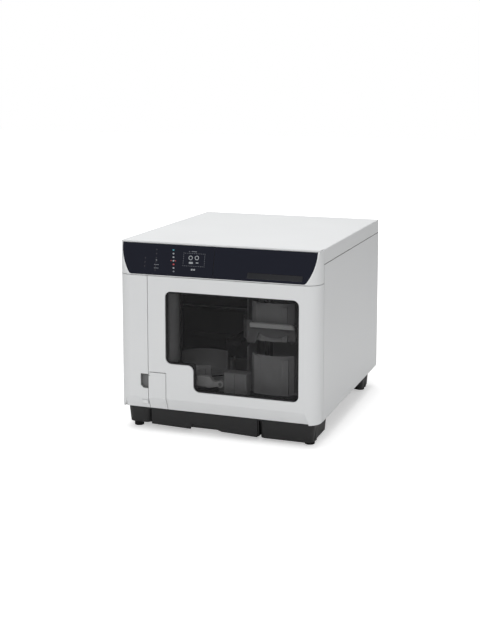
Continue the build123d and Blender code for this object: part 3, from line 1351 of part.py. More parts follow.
HOOD_HALF = 62.0
HOOD_WALL = 3.0
LOUVRE_PITCH = 10.0
with BuildPart() as rear_hood:
    box_between(
        (FAN_X - HOOD_HALF, at_depth(CABINET_DEPTH), FAN_Z - HOOD_HALF),
        (FAN_X + HOOD_HALF, at_depth(CABINET_DEPTH + HOOD_DEPTH), FAN_Z + HOOD_HALF),
    )
    chamfer(rear_hood.faces().sort_by(Axis.Y)[-1].edges(), 8)
    box_between(
        (FAN_X - HOOD_HALF + HOOD_WALL, at_depth(CABINET_DEPTH - 1), FAN_Z - HOOD_HALF + HOOD_WALL),
        (FAN_X + HOOD_HALF - HOOD_WALL, at_depth(CABINET_DEPTH + HOOD_DEPTH - 9), FAN_Z + HOOD_HALF - HOOD_WALL),
        Mode.SUBTRACT,
    )
    box_between(
        (FAN_X - HOOD_HALF + 13, at_depth(CABINET_DEPTH), FAN_Z - HOOD_HALF + 13),
        (
            FAN_X + HOOD_HALF - 13,
            at_depth(CABINET_DEPTH + HOOD_DEPTH - HOOD_WALL),
            FAN_Z + HOOD_HALF - 13,
        ),
        Mode.SUBTRACT,
    )
    with BuildSketch(Plane.XZ.offset(-at_depth(CABINET_DEPTH + HOOD_DEPTH + 1))):
        with Locations((FAN_X, FAN_Z)):
            with GridLocations(44, LOUVRE_PITCH, 2, 9):
                Rectangle(38, LOUVRE_PITCH / 2)
    extrude(amount=HOOD_DEPTH, mode=Mode.SUBTRACT)
save(rear_hood, "rear_hood")

with BuildPart() as power_inlet:
    with Locations((INLET_X, at_depth(CABINET_DEPTH - 8), INLET_Z)):
        Box(INLET_W, 20, INLET_H)
    with Locations((INLET_X, at_depth(CABINET_DEPTH + 1), INLET_Z)):
        Box(INLET_W + 8, 2, INLET_H + 4)
    chamfer(power_inlet.edges().filter_by(Axis.Y).group_by(Axis.Z)[-1], 2)
    with Locations((INLET_X, at_depth(CABINET_DEPTH - 6), INLET_Z)):
        Box(INLET_W - 4, 20, INLET_H - 5, mode=Mode.SUBTRACT)
    for x, z in ((-7, -1.5), (0, 2.5), (7, -1.5)):
        with Locations((INLET_X + x, at_depth(CABINET_DEPTH - 9), INLET_Z + z)):
            Box(1.6, 15, 4)
    with Locations((ROCKER_X, at_depth(CABINET_DEPTH - 5), ROCKER_Z)):
        Box(ROCKER_W + 4, 14, ROCKER_H + 4)
        Box(ROCKER_W + 2 * SEAT, 16, ROCKER_H + 2 * SEAT + 3, mode=Mode.SUBTRACT)
    cylinder_along_x(
        at_depth(rocker_depth),
        ROCKER_Z,
        ROCKER_X - ROCKER_W / 2 - 1,
        ROCKER_X + ROCKER_W / 2 + 1,
        ROCKER_PIN_R,
    )
save(power_inlet, "power_inlet")

with BuildPart() as power_rocker:
    with BuildSketch(Plane.YZ.offset(ROCKER_X - ROCKER_W / 2)):
        with BuildLine():
            Polyline(
                (at_depth(rocker_depth - 4.5), ROCKER_Z),
                (at_depth(rocker_depth - 1), ROCKER_Z - ROCKER_H / 2),
                (at_depth(rocker_depth + 2.5), ROCKER_Z - ROCKER_H / 2),
                (at_depth(rocker_depth + 3.5), ROCKER_Z),
                (at_depth(rocker_depth + 6.5), ROCKER_Z + ROCKER_H / 2),
                (at_depth(rocker_depth + 1), ROCKER_Z + ROCKER_H / 2),
                close=True,
            )
        make_face()
    extrude(amount=ROCKER_W)
    cylinder_along_x(
        at_depth(rocker_depth),
        ROCKER_Z,
        ROCKER_X - ROCKER_W,
        ROCKER_X + ROCKER_W,
        ROCKER_PIN_R + RUN,
        Mode.SUBTRACT,
    )
save(power_rocker, "power_rocker")

with BuildPart() as usb_socket:
    with Locations((USB_X, at_depth(CABINET_DEPTH - 7), USB_Z)):
        Box(USB_W, 16, USB_H)
    with Locations((USB_X, at_depth(CABINET_DEPTH - 2), USB_Z)):
        Box(USB_W - 2.4, 14, USB_H - 2.4, mode=Mode.SUBTRACT)
    with Locations((USB_X, at_depth(CABINET_DEPTH - 7), USB_Z)):
        Box(5, 10, 3)
save(usb_socket, "usb_socket")
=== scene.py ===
# %% [markdown]
# # Dressing a disc label printer
# The real object is a desktop machine that burns discs and prints on them: a white cabinet with
# a smoked window, a leaning black control band and a black base. Its shapes come from a CAD
# model. This lesson loads that model as a frame, gives each node its finish, and adds the small
# pieces that a CAD model leaves out. Everything is in metres, the front faces -Y.

import json
from math import cos, pi, radians, tan

import bpy
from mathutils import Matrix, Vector

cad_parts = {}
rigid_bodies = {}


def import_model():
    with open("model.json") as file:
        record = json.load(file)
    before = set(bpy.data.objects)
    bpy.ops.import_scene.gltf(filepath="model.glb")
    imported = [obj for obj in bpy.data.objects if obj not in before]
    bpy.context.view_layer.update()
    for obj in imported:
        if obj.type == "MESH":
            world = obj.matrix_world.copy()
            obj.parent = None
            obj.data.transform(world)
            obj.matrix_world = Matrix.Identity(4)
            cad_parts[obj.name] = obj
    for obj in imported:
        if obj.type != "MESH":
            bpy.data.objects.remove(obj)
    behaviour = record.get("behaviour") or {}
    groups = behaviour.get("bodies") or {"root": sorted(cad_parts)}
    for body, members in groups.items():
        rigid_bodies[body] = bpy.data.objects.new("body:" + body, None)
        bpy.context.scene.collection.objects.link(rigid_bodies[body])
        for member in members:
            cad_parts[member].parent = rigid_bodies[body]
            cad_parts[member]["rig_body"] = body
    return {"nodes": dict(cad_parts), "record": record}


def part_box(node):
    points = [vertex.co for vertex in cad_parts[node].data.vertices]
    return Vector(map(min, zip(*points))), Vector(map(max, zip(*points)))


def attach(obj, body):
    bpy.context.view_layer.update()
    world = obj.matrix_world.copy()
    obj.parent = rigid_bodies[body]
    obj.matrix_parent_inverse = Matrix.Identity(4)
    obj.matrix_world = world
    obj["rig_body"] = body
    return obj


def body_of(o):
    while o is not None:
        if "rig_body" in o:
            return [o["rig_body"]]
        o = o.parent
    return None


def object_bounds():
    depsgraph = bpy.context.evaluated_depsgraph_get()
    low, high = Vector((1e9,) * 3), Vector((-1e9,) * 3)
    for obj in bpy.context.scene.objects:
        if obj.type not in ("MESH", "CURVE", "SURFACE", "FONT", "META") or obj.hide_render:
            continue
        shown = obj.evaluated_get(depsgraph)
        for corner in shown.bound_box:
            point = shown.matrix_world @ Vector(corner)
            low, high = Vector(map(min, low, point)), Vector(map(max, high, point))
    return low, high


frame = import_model()
nodes = frame["nodes"]
cad_low, cad_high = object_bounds()
print("CAD box", [round(v, 3) for v in (*cad_low, *cad_high)])

# %% [markdown]
# ## Camera
# A product photograph is taken from a little above and to the right, with a long lens so that
# the cabinet hardly tapers. Its viewing angle was measured from the cabinet's corners. The
# camera is pitched down by about eight degrees, and its lens is shifted a little, which brings
# the object to the middle of the picture.

# %% Camera at the photograph's angle
camera_data = bpy.data.cameras.new("camera")
camera_data.sensor_width = 36.0
camera_data.lens = 65.014
camera_data.shift_y = -0.15
camera_data.clip_start = 0.05
camera_data.clip_end = 40.0
camera = bpy.data.objects.new("camera", camera_data)
camera.location = (0.71311, -2.08919, 0.66365)
camera.rotation_euler = (radians(90 - 7.91), 0.0, 0.3446)
bpy.context.scene.collection.objects.link(camera)
bpy.context.scene.camera = camera
bpy.context.scene.view_settings.view_transform = "Standard"
print("camera at", tuple(round(v, 3) for v in camera.location))

# %% [markdown]
# ## Shader maths
# A finish is a network of nodes, and writing every link by hand hides what it does. Here a
# socket is wrapped in a small class whose operators add Math nodes, so `1 - mask * 0.2` reads
# as the sum that it is, and `a | b` is 1 where either mask is. Every other node comes from one
# method that takes the node's type, its settings and what goes into its sockets. The world has
# such a network too, so the class that makes nodes takes either.

# %% A socket that can be used in sums
class Wire:
    """One output socket. Sums with it add Math nodes to its finish."""

    def __init__(self, finish, socket):
        self.finish = finish
        self.socket = socket

    def sum(self, operation, first, second):
        return self.finish.node("Math", {"operation": operation}, {0: first, 1: second})[0]

    def __add__(self, other):
        return self.sum("ADD", self, other)

    def __sub__(self, other):
        return self.sum("SUBTRACT", self, other)

    def __rsub__(self, other):
        return self.sum("SUBTRACT", other, self)

    def __mul__(self, other):
        return self.sum("MULTIPLY", self, other)

    def __gt__(self, other):
        return self.sum("GREATER_THAN", self, other)

    def __lt__(self, other):
        return self.sum("LESS_THAN", self, other)

    def __or__(self, other):
        return self.sum("MAXIMUM", self, other)

    __radd__ = __add__
    __rmul__ = __mul__


# %% A network, and the one method that makes nodes
class Network:
    """The nodes of a material or the world."""

    def __init__(self, owner):
        owner.use_nodes = True
        self.tree = owner.node_tree
        self.tree.nodes.clear()

    def node(self, kind, settings=None, values=None):
        made = self.tree.nodes.new("ShaderNode" + kind)
        for key, value in (settings or {}).items():
            setattr(made, key, value)
        for key, value in (values or {}).items():
            if isinstance(value, Wire):
                self.tree.links.new(value.socket, made.inputs[key])
            else:
                made.inputs[key].default_value = value
        return Outputs(self, made)


class Outputs:
    """The outputs of a node, by name or number."""

    def __init__(self, finish, made):
        self.finish = finish
        self.made = made

    def __getitem__(self, key):
        return Wire(self.finish, self.made.outputs[key])


# %% A finish is the network of a material
class Finish(Network):
    """A material under construction, with the place on the object as x, y and z."""

    def __init__(self, name):
        self.material = bpy.data.materials.new(name)
        super().__init__(self.material)
        self.coordinates = self.node("TexCoord")["Object"]
        parts = self.node("SeparateXYZ", {}, {0: self.coordinates})
        self.x, self.y, self.z = parts["X"], parts["Y"], parts["Z"]

    def mix(self, factor, first, second):
        """Two colours mixed: second where factor is 1."""
        return self.node("Mix", {"data_type": "RGBA"}, {0: factor, 6: first, 7: second})[2]

    def noise(self, scale, detail=3.0, roughness=0.5):
        """Soft random values about 0.5. The scale is in cells per metre."""
        values = {"Vector": self.coordinates, "Scale": scale, "Detail": detail, "Roughness": roughness}
        return self.node("TexNoise", {}, values)["Fac"]

    def output(self, shader):
        self.node("OutputMaterial", {}, {"Surface": shader})
        return self.material


# %% [markdown]
# ## Floor, walls of light and shadow
# The photograph has a white ground with only a soft shadow under the machine. A floor that is
# simply lit would come out grey where the lamps no longer reach it, so for camera rays alone it
# gets a light of its own that grows with the distance, up to the white of the world behind it.
# The world is white to the camera and through glass, and much weaker as a light.

# %% Floor
WHITE = (1, 1, 1, 1)
GLOW_NEAR = 0.47  # the floor's own light at the object
GLOW_GROWTH = 0.14  # and what each square metre of distance adds

floor_finish = Finish("studio_floor")
lit_floor = floor_finish.node("BsdfDiffuse", {}, {"Color": (0.86, 0.86, 0.86, 1)})[0]
seen = floor_finish.node("LightPath")["Is Camera Ray"]
length = floor_finish.node("VectorMath", {"operation": "LENGTH"}, {0: floor_finish.coordinates})
reach = length["Value"]
strength = seen * (GLOW_NEAR + reach * reach * GLOW_GROWTH)
glow = floor_finish.node("Emission", {}, {"Color": WHITE, "Strength": strength})[0]
floor_finish.output(floor_finish.node("AddShader", {}, {0: lit_floor, 1: glow})[0])

bpy.ops.mesh.primitive_plane_add(size=16.0, location=(0, 0, 0))
floor = bpy.context.active_object
floor.name = "studio_floor"
floor.data.materials.append(floor_finish.material)
print("floor made")

# %% World
SKY_LIGHT = 0.30

bpy.context.scene.world = bpy.data.worlds.new("studio")
sky = Network(bpy.context.scene.world)
path = sky.node("LightPath")
shown = path["Is Camera Ray"] | path["Is Transmission Ray"]
strength = SKY_LIGHT + shown * (1.0 - SKY_LIGHT)
backdrop = sky.node("Background", {}, {"Color": WHITE, "Strength": strength})[0]
sky.node("OutputWorld", {}, {"Surface": backdrop})
print("world made")

# %% [markdown]
# ## Lamps
# The top of the cabinet is nearly white, the front a light grey and the side a little darker,
# so the main soft light hangs above, a weaker one stands high in front, and a weak one at the
# right opens the shadow of the side. Nothing stands at the left in front: the leaning band
# would mirror it to the camera and come out grey.

# %% Three soft lamps
def soft_lamp(name, place, aim, size, power):
    """A square area lamp at a place, turned towards a point."""
    data = bpy.data.lights.new(name, "AREA")
    data.shape = "SQUARE"
    data.size = size
    data.energy = power
    lamp = bpy.data.objects.new(name, data)
    lamp.location = place
    lamp.rotation_euler = (Vector(aim) - Vector(place)).to_track_quat("-Z", "Y").to_euler()
    bpy.context.scene.collection.objects.link(lamp)
    return lamp


middle = (0.0, 0.0, 0.18)
soft_lamp("lamp_top", (-0.2, 0.1, 2.4), middle, 2.0, 41.0)
soft_lamp("lamp_front", (0.5, -2.8, 1.9), middle, 1.4, 27.0)
soft_lamp("lamp_side", (2.4, -0.4, 1.0), middle, 1.6, 2.0)

# %% [markdown]
# ## Moulded and painted finishes
# Each finish has a colour that drifts a little, a roughness that isn't even, and a fine grain.
# Machine parts are never knife-edged, so the Bevel node rounds the look of every edge by up to
# a millimetre, and the grain is a Bump on top of it.

# %% Rounded edges and grain
def rounded(finish, radius, height=None, strength=0.15, distance=0.0004):
    """The normal of softly rounded edges, with a bump from height where one is given."""
    soft = finish.node("Bevel", {"samples": 4}, {"Radius": radius})[0]
    if height is None:
        return soft
    values = {"Height": height, "Strength": strength, "Distance": distance, "Normal": soft}
    return finish.node("Bump", {}, values)[0]


def moulded(name, colour, rough, drift=0.04, grain=2600.0, bump=0.12, edge=0.0006, **sockets):
    """Moulded or painted surface: drifting colour, uneven roughness, fine grain."""
    finish = Finish(name)
    cloud = finish.noise(9.0, 4.0)
    fine = finish.noise(grain, 2.0, 0.6)
    darker = tuple(c * (1 - drift) for c in colour) + (1,)
    lighter = tuple(min(1.0, c * (1 + drift)) for c in colour) + (1,)
    values = {
        "Base Color": finish.mix(cloud, darker, lighter),
        "Roughness": rough + (cloud - 0.5) * 0.10 + (fine - 0.5) * 0.06,
        "Normal": rounded(finish, edge, fine, bump),
        **sockets,
    }
    finish.output(finish.node("BsdfPrincipled", {}, values)[0])
    return finish.material


# %% [markdown]
# The white skins are satin ABS, the rear is painted steel, the band is a polished blue-black
# panel, and the works inside are plain black and grey mouldings.

# %% Moulded finishes
finishes = {
    "white": moulded("satin_white", (0.80, 0.81, 0.815), 0.42, 0.012, 3200.0, 0.05, 0.0009),
    "panel_grey": moulded("grey_paint", (0.56, 0.57, 0.575), 0.46, 0.03, 1800.0, 0.10),
    "black_plastic": moulded("black_moulding", (0.0085, 0.0085, 0.009), 0.55, 0.12, 2400.0, 0.25),
    "grey_plastic": moulded("grey_moulding", (0.50, 0.50, 0.505), 0.45, 0.06, 2400.0, 0.20),
    "rubber": moulded("foot_rubber", (0.014, 0.014, 0.014), 0.85, 0.15, 1500.0, 0.35),
    "circuit_board": moulded("green_board", (0.02, 0.13, 0.055), 0.35, 0.10, 900.0, 0.10),
}
finishes["gloss_black"] = moulded(
    "polished_band", (0.0075, 0.009, 0.018), 0.10, 0.06, 1200.0, 0.01, 0.0008,
    **{"Specular IOR Level": 0.4},
)
inks = {
    "ink_1": (0.02, 0.30, 0.50), "ink_2": (0.45, 0.03, 0.16), "ink_3": (0.35, 0.58, 0.66),
    "ink_4": (0.62, 0.34, 0.42), "ink_5": (0.66, 0.52, 0.04), "ink_6": (0.02, 0.02, 0.022),
}
for slot_name, colour in inks.items():
    finishes[slot_name] = moulded(slot_name + "_case", colour, 0.38, 0.05, 2000.0, 0.10)
print(len(finishes), "moulded finishes")

# %% [markdown]
# ## Metal
# Zinc-plated sheet shows pale spangles, ground rods show fine rings across their length, and
# the drives' cases are thin plain steel. All are metallic with a roughness that wanders.

# %% Metals
def metal(name, colour, rough, scale, stretch=(1, 1, 1), bump=0.05):
    """Bare metal. The pattern is stretched along the axes to show how it was worked."""
    finish = Finish(name)
    worked = finish.node("Mapping", {}, {"Vector": finish.coordinates, "Scale": stretch})[0]
    values = {"Vector": worked, "Scale": scale, "Detail": 3.0}
    streak = finish.node("TexNoise", {}, values)["Fac"]
    cloud = finish.noise(14.0)
    darker = tuple(c * 0.86 for c in colour) + (1,)
    values = {
        "Base Color": finish.mix(cloud * 0.6 + streak * 0.4, darker, colour + (1,)),
        "Metallic": 1.0,
        "Roughness": rough + (streak - 0.5) * 0.16 + (cloud - 0.5) * 0.08,
        "Normal": rounded(finish, 0.0004, streak, bump),
    }
    finish.output(finish.node("BsdfPrincipled", {}, values)[0])
    return finish.material


finishes["steel"] = metal("plated_sheet", (0.56, 0.57, 0.58), 0.40, 220.0)
finishes["bright_steel"] = metal("ground_rod", (0.74, 0.74, 0.75), 0.22, 90.0, (1, 1, 12))
finishes["drive_metal"] = metal("drive_case", (0.46, 0.47, 0.48), 0.42, 160.0, (6, 1, 1))
print("metals made")

# %% [markdown]
# ## Smoked window and light pipes
# The window is clear plastic with a dark tint. Alpha lets the works behind show through, and
# the rest is a polished near-black surface. A black border is printed round the back of the
# pane, so a mask from the pane's own outline turns it opaque there. The model's light pipes lie
# left of where the photograph has its marks, so they are shown unlit: smoky beads that all but
# vanish in the band, each a little different in tint.

# %% Window and lights
smoke = Finish("smoked_window")
haze = smoke.noise(6.0, 2.0)
pane_low, pane_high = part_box("door_window")
BORDER = 0.0032  # how far the printed border shows inside the door's opening
HIDDEN = 0.0040  # how far the pane lies behind the opening's edge
STEP_X, STEP_Z = -0.042, 0.1295  # the corner where the window steps up
edge = BORDER + HIDDEN
over_step = (smoke.x > pane_low[0] + edge) * (smoke.z > STEP_Z + BORDER)
beside_step = (smoke.x > STEP_X + BORDER) * (smoke.z > pane_low[2] + edge)
within = (smoke.x < pane_high[0] - edge) * (smoke.z < pane_high[2] - edge)
clear = (over_step | beside_step) * within
values = {
    "Base Color": smoke.mix(haze, (0.010, 0.010, 0.011, 1), (0.014, 0.014, 0.015, 1)),
    "Roughness": 0.06 + haze * 0.03,
    "Alpha": 1.0 - clear * (0.68 - haze * 0.03),
    "Specular IOR Level": 0.24,
    "Normal": rounded(smoke, 0.0005),
}
smoke.output(smoke.node("BsdfPrincipled", {}, values)[0])
finishes["smoked_glass"] = smoke.material

pipe = Finish("light_pipes")
ripple = pipe.noise(900.0)
tint = pipe.noise(160.0, 1.0)
values = {
    "Base Color": pipe.mix(tint, (0.018, 0.022, 0.034, 1), (0.042, 0.036, 0.044, 1)),
    "Roughness": 0.16 + ripple * 0.1,
    "Normal": rounded(pipe, 0.0003),
}
pipe.output(pipe.node("BsdfPrincipled", {}, values)[0])
finishes["lights"] = pipe.material

# %% [markdown]
# ## Finishes onto the frame
# The record names a material slot for each node. The node keeps its mesh and only its material
# changes. Some nodes get a finish of their own within their slot: the ink cover has painted shade
# in its finger recess, the side panels a painted shadow line at the top, in the seam under the top
# cover, and the mouldings behind the window are lighter or darker greys.

# %% Finishes of single nodes
def shaded_white(name, shade, dark):
    """The satin white of the skins, darkened by a mask where it lies in shadow."""
    finish = Finish(name)
    cloud = finish.noise(9.0, 4.0)
    fine = finish.noise(3200.0, 2.0, 0.6)
    white = finish.mix(cloud, (0.79, 0.80, 0.805, 1), (0.81, 0.82, 0.825, 1))
    values = {
        "Base Color": finish.mix(shade(finish), white, dark),
        "Roughness": 0.42 + (cloud - 0.5) * 0.10,
        "Normal": rounded(finish, 0.0009, fine, 0.05),
    }
    finish.output(finish.node("BsdfPrincipled", {}, values)[0])
    return finish.material


cover_low, cover_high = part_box("ink_cover")
seam_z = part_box("right_side_panel")[1][2]
# height of the band of painted shadow at the top of each side panel
SEAM = 0.0011


RECESS_WIDE = 0.0154  # from the cover's right edge
RECESS_LOW, RECESS_TOP = 0.0795, 0.1085
SKIN = 0.0012


def painted_recess_shade(finish):
    """1 inside the finger recess, where its shade is painted: behind the front skin, by the cover's
    right edge.
    """
    behind = finish.y > cover_low[1] + SKIN
    beside = finish.x > cover_high[0] - RECESS_WIDE
    return behind * beside * (finish.z > RECESS_LOW) * (finish.z < RECESS_TOP)


def painted_seam_shadow(finish):
    """1 in the top millimetre of a side panel, where the shadow of the cover is painted."""
    return finish.z > seam_z - SEAM


BEZEL = 0.004  # thickness of a drive's front


def drive_finish(name):
    """A drive's thin steel case, with the black face of its moulded bezel."""
    finish = Finish(name)
    face = finish.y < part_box("drive_1_case")[0][1] + BEZEL
    streak = finish.noise(420.0)
    case = finish.mix(streak, (0.40, 0.41, 0.42, 1), (0.48, 0.49, 0.50, 1))
    values = {
        "Base Color": finish.mix(face, case, (0.012, 0.012, 0.013, 1)),
        "Metallic": 1.0 - face,
        "Roughness": 0.38 + streak * 0.10 + face * 0.10,
        "Normal": rounded(finish, 0.0004, streak, 0.05),
    }
    finish.output(finish.node("BsdfPrincipled", {}, values)[0])
    return finish.material


own_finish = {
    "drive_1_case": drive_finish("cased_drive"),
    # painted shade in the ink cover's finger recess
    "ink_cover": shaded_white("white_with_painted_recess_shade", painted_recess_shade, (0.22, 0.22, 0.225, 1)),
    # painted shadow in the top millimetre of the side panels, under the top cover
    "left_side_panel": shaded_white("white_side_painted_seam_shadow", painted_seam_shadow, (0.05, 0.05, 0.05, 1)),
    "stacker_carrier": moulded("carrier_grey", (0.22, 0.22, 0.223), 0.48, 0.08),
    "sensor_housing": moulded("housing_grey", (0.40, 0.40, 0.404), 0.48, 0.08),
    "lock_lever": moulded("lever_grey", (0.80, 0.80, 0.80), 0.48, 0.05),
    "disc_arm": moulded("arm_black", (0.012, 0.012, 0.013), 0.5, 0.1),
}
own_finish["right_side_panel"] = own_finish["left_side_panel"]
own_finish["drive_2_case"] = own_finish["drive_1_case"]
for finger in (1, 2, 3):
    own_finish[f"gripper_finger_{finger}"] = own_finish["disc_arm"]

# %% Give each node its finish
for part in frame["record"]["subparts"]:
    node = nodes[part["node"]]
    node.data.materials.clear()
    finish = own_finish.get(part["node"], finishes[part["material_slot"]])
    node.data.materials.append(finish)

# %% [markdown]
# ## Printed marks on the control band
# To the left of the band's seam the real machine has small printed signs: a dot over two short
# rows, a column of seven drops with a small dot at each side, and a dotted frame round a little
# drawing of two discs. They are paint, so each is a film a tenth of a millimetre thick. It is
# easiest to draw them flat, in the band's own plane, and lean the whole sheet back at the end.

# %% Draw one flat mark
FILM = 0.0001
LEAN = 0.2490  # the band leans back by this angle, in radians
BAND_FOOT_Z = 0.289


def edit(obj):
    """Select one object alone and edit it with everything in it selected."""
    bpy.ops.object.select_all(action="DESELECT")
    bpy.context.view_layer.objects.active = obj
    obj.select_set(True)
    bpy.ops.object.mode_set(mode="EDIT")
    bpy.ops.mesh.select_all(action="SELECT")


def settle(obj, name, finish, body):
    if bpy.context.object and bpy.context.object.mode == "EDIT":
        bpy.ops.object.mode_set(mode="OBJECT")
    bpy.ops.object.select_all(action="DESELECT")
    bpy.context.view_layer.objects.active = obj
    obj.select_set(True)
    bpy.ops.object.transform_apply(location=True, rotation=True, scale=True)
    obj.name = name
    obj.data.name = name
    obj.data.materials.clear()
    obj.data.materials.append(finish)
    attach(obj, body)
    print(name, len(obj.data.polygons), "faces on", body)
    return obj


def block_mark(x, z, wide, high, corner=0.0004):
    """A flat rounded rectangle centred at x and height z on the band."""
    place = (x, (z - BAND_FOOT_Z) / cos(LEAN), 0)
    bpy.ops.mesh.primitive_plane_add(size=1, location=place)
    mark = bpy.context.active_object
    mark.scale = (wide, high, 1)
    bpy.ops.object.transform_apply(location=False, rotation=False, scale=True)
    edit(mark)
    bpy.ops.mesh.bevel(offset=min(corner, wide * 0.4, high * 0.4), segments=2, affect="VERTICES")
    bpy.ops.mesh.extrude_region_move(TRANSFORM_OT_translate={"value": (0, 0, FILM)})
    bpy.ops.mesh.select_all(action="SELECT")
    bpy.ops.mesh.normals_make_consistent(inside=False)
    bpy.ops.object.mode_set(mode="OBJECT")
    return mark


def ring_mark(x, z, radius, width):
    """A flat ring centred at x and height z on the band."""
    place = (x, (z - BAND_FOOT_Z) / cos(LEAN), 0)
    bpy.ops.mesh.primitive_circle_add(vertices=32, radius=radius, fill_type="NGON", location=place)
    mark = bpy.context.active_object
    edit(mark)
    bpy.ops.mesh.inset(thickness=width)
    bpy.ops.mesh.delete(type="FACE")
    bpy.ops.mesh.select_all(action="SELECT")
    bpy.ops.mesh.extrude_region_move(TRANSFORM_OT_translate={"value": (0, 0, FILM)})
    bpy.ops.mesh.select_all(action="SELECT")
    bpy.ops.mesh.normals_make_consistent(inside=False)
    bpy.ops.object.mode_set(mode="OBJECT")
    return mark


# %% Lean a sheet of marks against the band
band = nodes["control_band_left"]


def seen_at(node, x, z):
    """The y of a node's nearest face at a place, found by looking at it from the front."""
    return node.ray_cast(Vector((x, -1.0, z)), Vector((0, 1, 0)))[1].y


PROBE_X, PROBE_Z = -0.090, 0.320  # a bare place on the band
foot_y = seen_at(band, PROBE_X, PROBE_Z) - (PROBE_Z - BAND_FOOT_Z) * tan(LEAN)
print("band's foot line at y", round(foot_y, 4))


def lean_marks(marks, name, finish):
    """Join flat marks into one piece and lean it against the band."""
    bpy.ops.object.select_all(action="DESELECT")
    for mark in marks:
        mark.select_set(True)
    sheet = marks[0]
    bpy.context.view_layer.objects.active = sheet
    if len(marks) > 1:
        bpy.ops.object.join()
    bpy.ops.object.transform_apply(location=True, rotation=True, scale=True)
    sheet.rotation_euler = (pi / 2 - LEAN, 0, 0)
    sheet.location = (0, foot_y, BAND_FOOT_Z)
    return settle(sheet, name, finish, body_of(band)[0])


# %% Status, ink and disc marks
paint = {
    "white": moulded("white_print", (0.36, 0.38, 0.40), 0.45, 0.10, 1500.0, 0.05, 0.00005),
    "dim": moulded("dim_print", (0.16, 0.17, 0.19), 0.45, 0.10, 1500.0, 0.05, 0.00005),
    "red": moulded("red_print", (0.50, 0.07, 0.07), 0.45, 0.10, 1500.0, 0.05, 0.00005),
    "teal": moulded("teal_print", (0.06, 0.30, 0.36), 0.45, 0.10, 1500.0, 0.05, 0.00005),
}
status = [block_mark(-0.1141, 0.3163, 0.0026, 0.0026, 0.0012)]
for row_z, widths in ((0.3085, (3.0, 2.2, 2.6)), (0.3025, (2.2, 3.2, 2.4))):
    left = -0.1178
    for wide in widths:
        status.append(block_mark(left + wide / 2000, row_z, wide / 1000, 0.0014))
        left += wide / 1000 + 0.0006
lean_marks(status, "status_marks", paint["dim"])

ink_rows = {
    "teal": (0.3353,),
    "white": (0.3291, 0.3230, 0.3168, 0.3044),
    "red": (0.3106,),
    "dim": (0.2985,),
}
INK_X, INK_TOP = -0.0830, 0.3353
DRIFT = 0.10  # the column leans to the right as it goes down
for colour, heights in ink_rows.items():
    drops = []
    for z in heights:
        drops.append(block_mark(INK_X + (INK_TOP - z) * DRIFT, z, 0.0034, 0.0026, 0.0010))
    if colour == "red":
        drops.append(block_mark(-0.0858, 0.3168, 0.0018, 0.0018, 0.0005))
        drops.append(block_mark(-0.0772, 0.3168, 0.0018, 0.0018, 0.0005))
    lean_marks(drops, f"ink_marks_{colour}", paint[colour])

FRAME_LEFT, FRAME_RIGHT, FRAME_LOW, FRAME_TOP = -0.0625, -0.0224, 0.3094, 0.3312
ACROSS, UP = 12, 7  # spaces between the dots of a row and of a column
LINE = 0.0007
dots = []
for i in range(ACROSS + 1):
    x = FRAME_LEFT + (FRAME_RIGHT - FRAME_LEFT) * i / ACROSS
    dots += [block_mark(x, z, 0.0020, LINE) for z in (FRAME_LOW, FRAME_TOP)]
for i in range(1, UP):
    z = FRAME_LOW + (FRAME_TOP - FRAME_LOW) * i / UP
    dots += [block_mark(x, z, LINE, 0.0018) for x in (FRAME_LEFT, FRAME_RIGHT)]
for x, z, wide in ((-0.0430, 0.3345, 0.010), (-0.0520, 0.3340, 0.002)):
    dots.append(block_mark(x, z, wide, 0.0013))
lean_marks(dots, "drawing_frame", paint["dim"])

drawing = [ring_mark(-0.0490, 0.3235, 0.0040, 0.0013), ring_mark(-0.0372, 0.3240, 0.0040, 0.0013)]
drawing.append(block_mark(-0.0478, 0.3150, 0.0080, 0.0034, 0.0012))
drawing.append(block_mark(-0.0360, 0.3155, 0.0050, 0.0018, 0.0006))
for x in (-0.0450, -0.0405):
    drawing.append(block_mark(x, 0.3035, 0.0032, 0.0030, 0.0006))
lean_marks(drawing, "drawing_discs", paint["white"])

# %% [markdown]
# ## Insert of the sunk strip
# At the lower right the band has a shallow strip that looks a shade greyer than the polish
# round it. It is a plate of its own in the recess, with softened edges.

# %% Strip insert
STRIP_X, STRIP_UP = 0.109, 0.011  # its middle, along the band and up its slope
STRIP_SUNK = 0.0006
bpy.ops.mesh.primitive_plane_add(size=1, location=(STRIP_X, STRIP_UP, -STRIP_SUNK))
strip = bpy.context.active_object
strip.scale = (0.0995, 0.0094, 1)
bpy.ops.object.transform_apply(location=False, rotation=False, scale=True)
edit(strip)
bpy.ops.mesh.bevel(offset=0.0012, segments=3, affect="VERTICES")
bpy.ops.mesh.extrude_region_move(TRANSFORM_OT_translate={"value": (0, 0, 0.0003)})
bpy.ops.mesh.inset(thickness=0.0008, depth=-0.0001)
bpy.ops.mesh.select_all(action="SELECT")
bpy.ops.mesh.normals_make_consistent(inside=False)
bpy.ops.object.mode_set(mode="OBJECT")
bpy.ops.object.transform_apply(location=True, rotation=True, scale=True)
strip.rotation_euler = (pi / 2 - LEAN, 0, 0)
strip.location = (0, foot_y, BAND_FOOT_Z)
strip_grey = moulded("strip_grey", (0.0085, 0.0092, 0.0125), 0.32, 0.1, 1800.0, 0.1, 0.0001)
settle(strip, "strip_insert", strip_grey, body_of(band)[0])

# %% [markdown]
# ## Cable channel
# Behind the left edge of the window stands a rounded column, taken here for a cable channel. It
# ends in a rounded foot level with the step of the window, and a flat strip behind it goes down
# to the deck and carries it. A cylinder is cut in half by bisect, which closes the cut, and the
# edge of its foot is bevelled round.

# %% Channel
FRONT = cad_low[1]
CHANNEL_X = -0.0900
CHANNEL_DEPTH = 0.0215
CHANNEL_R = 0.0135
CHANNEL_LOW = 0.1290
CHANNEL_TOP = 0.2875
DECK_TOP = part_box("deck")[1][2]
cabinet = body_of(nodes["deck"])[0]

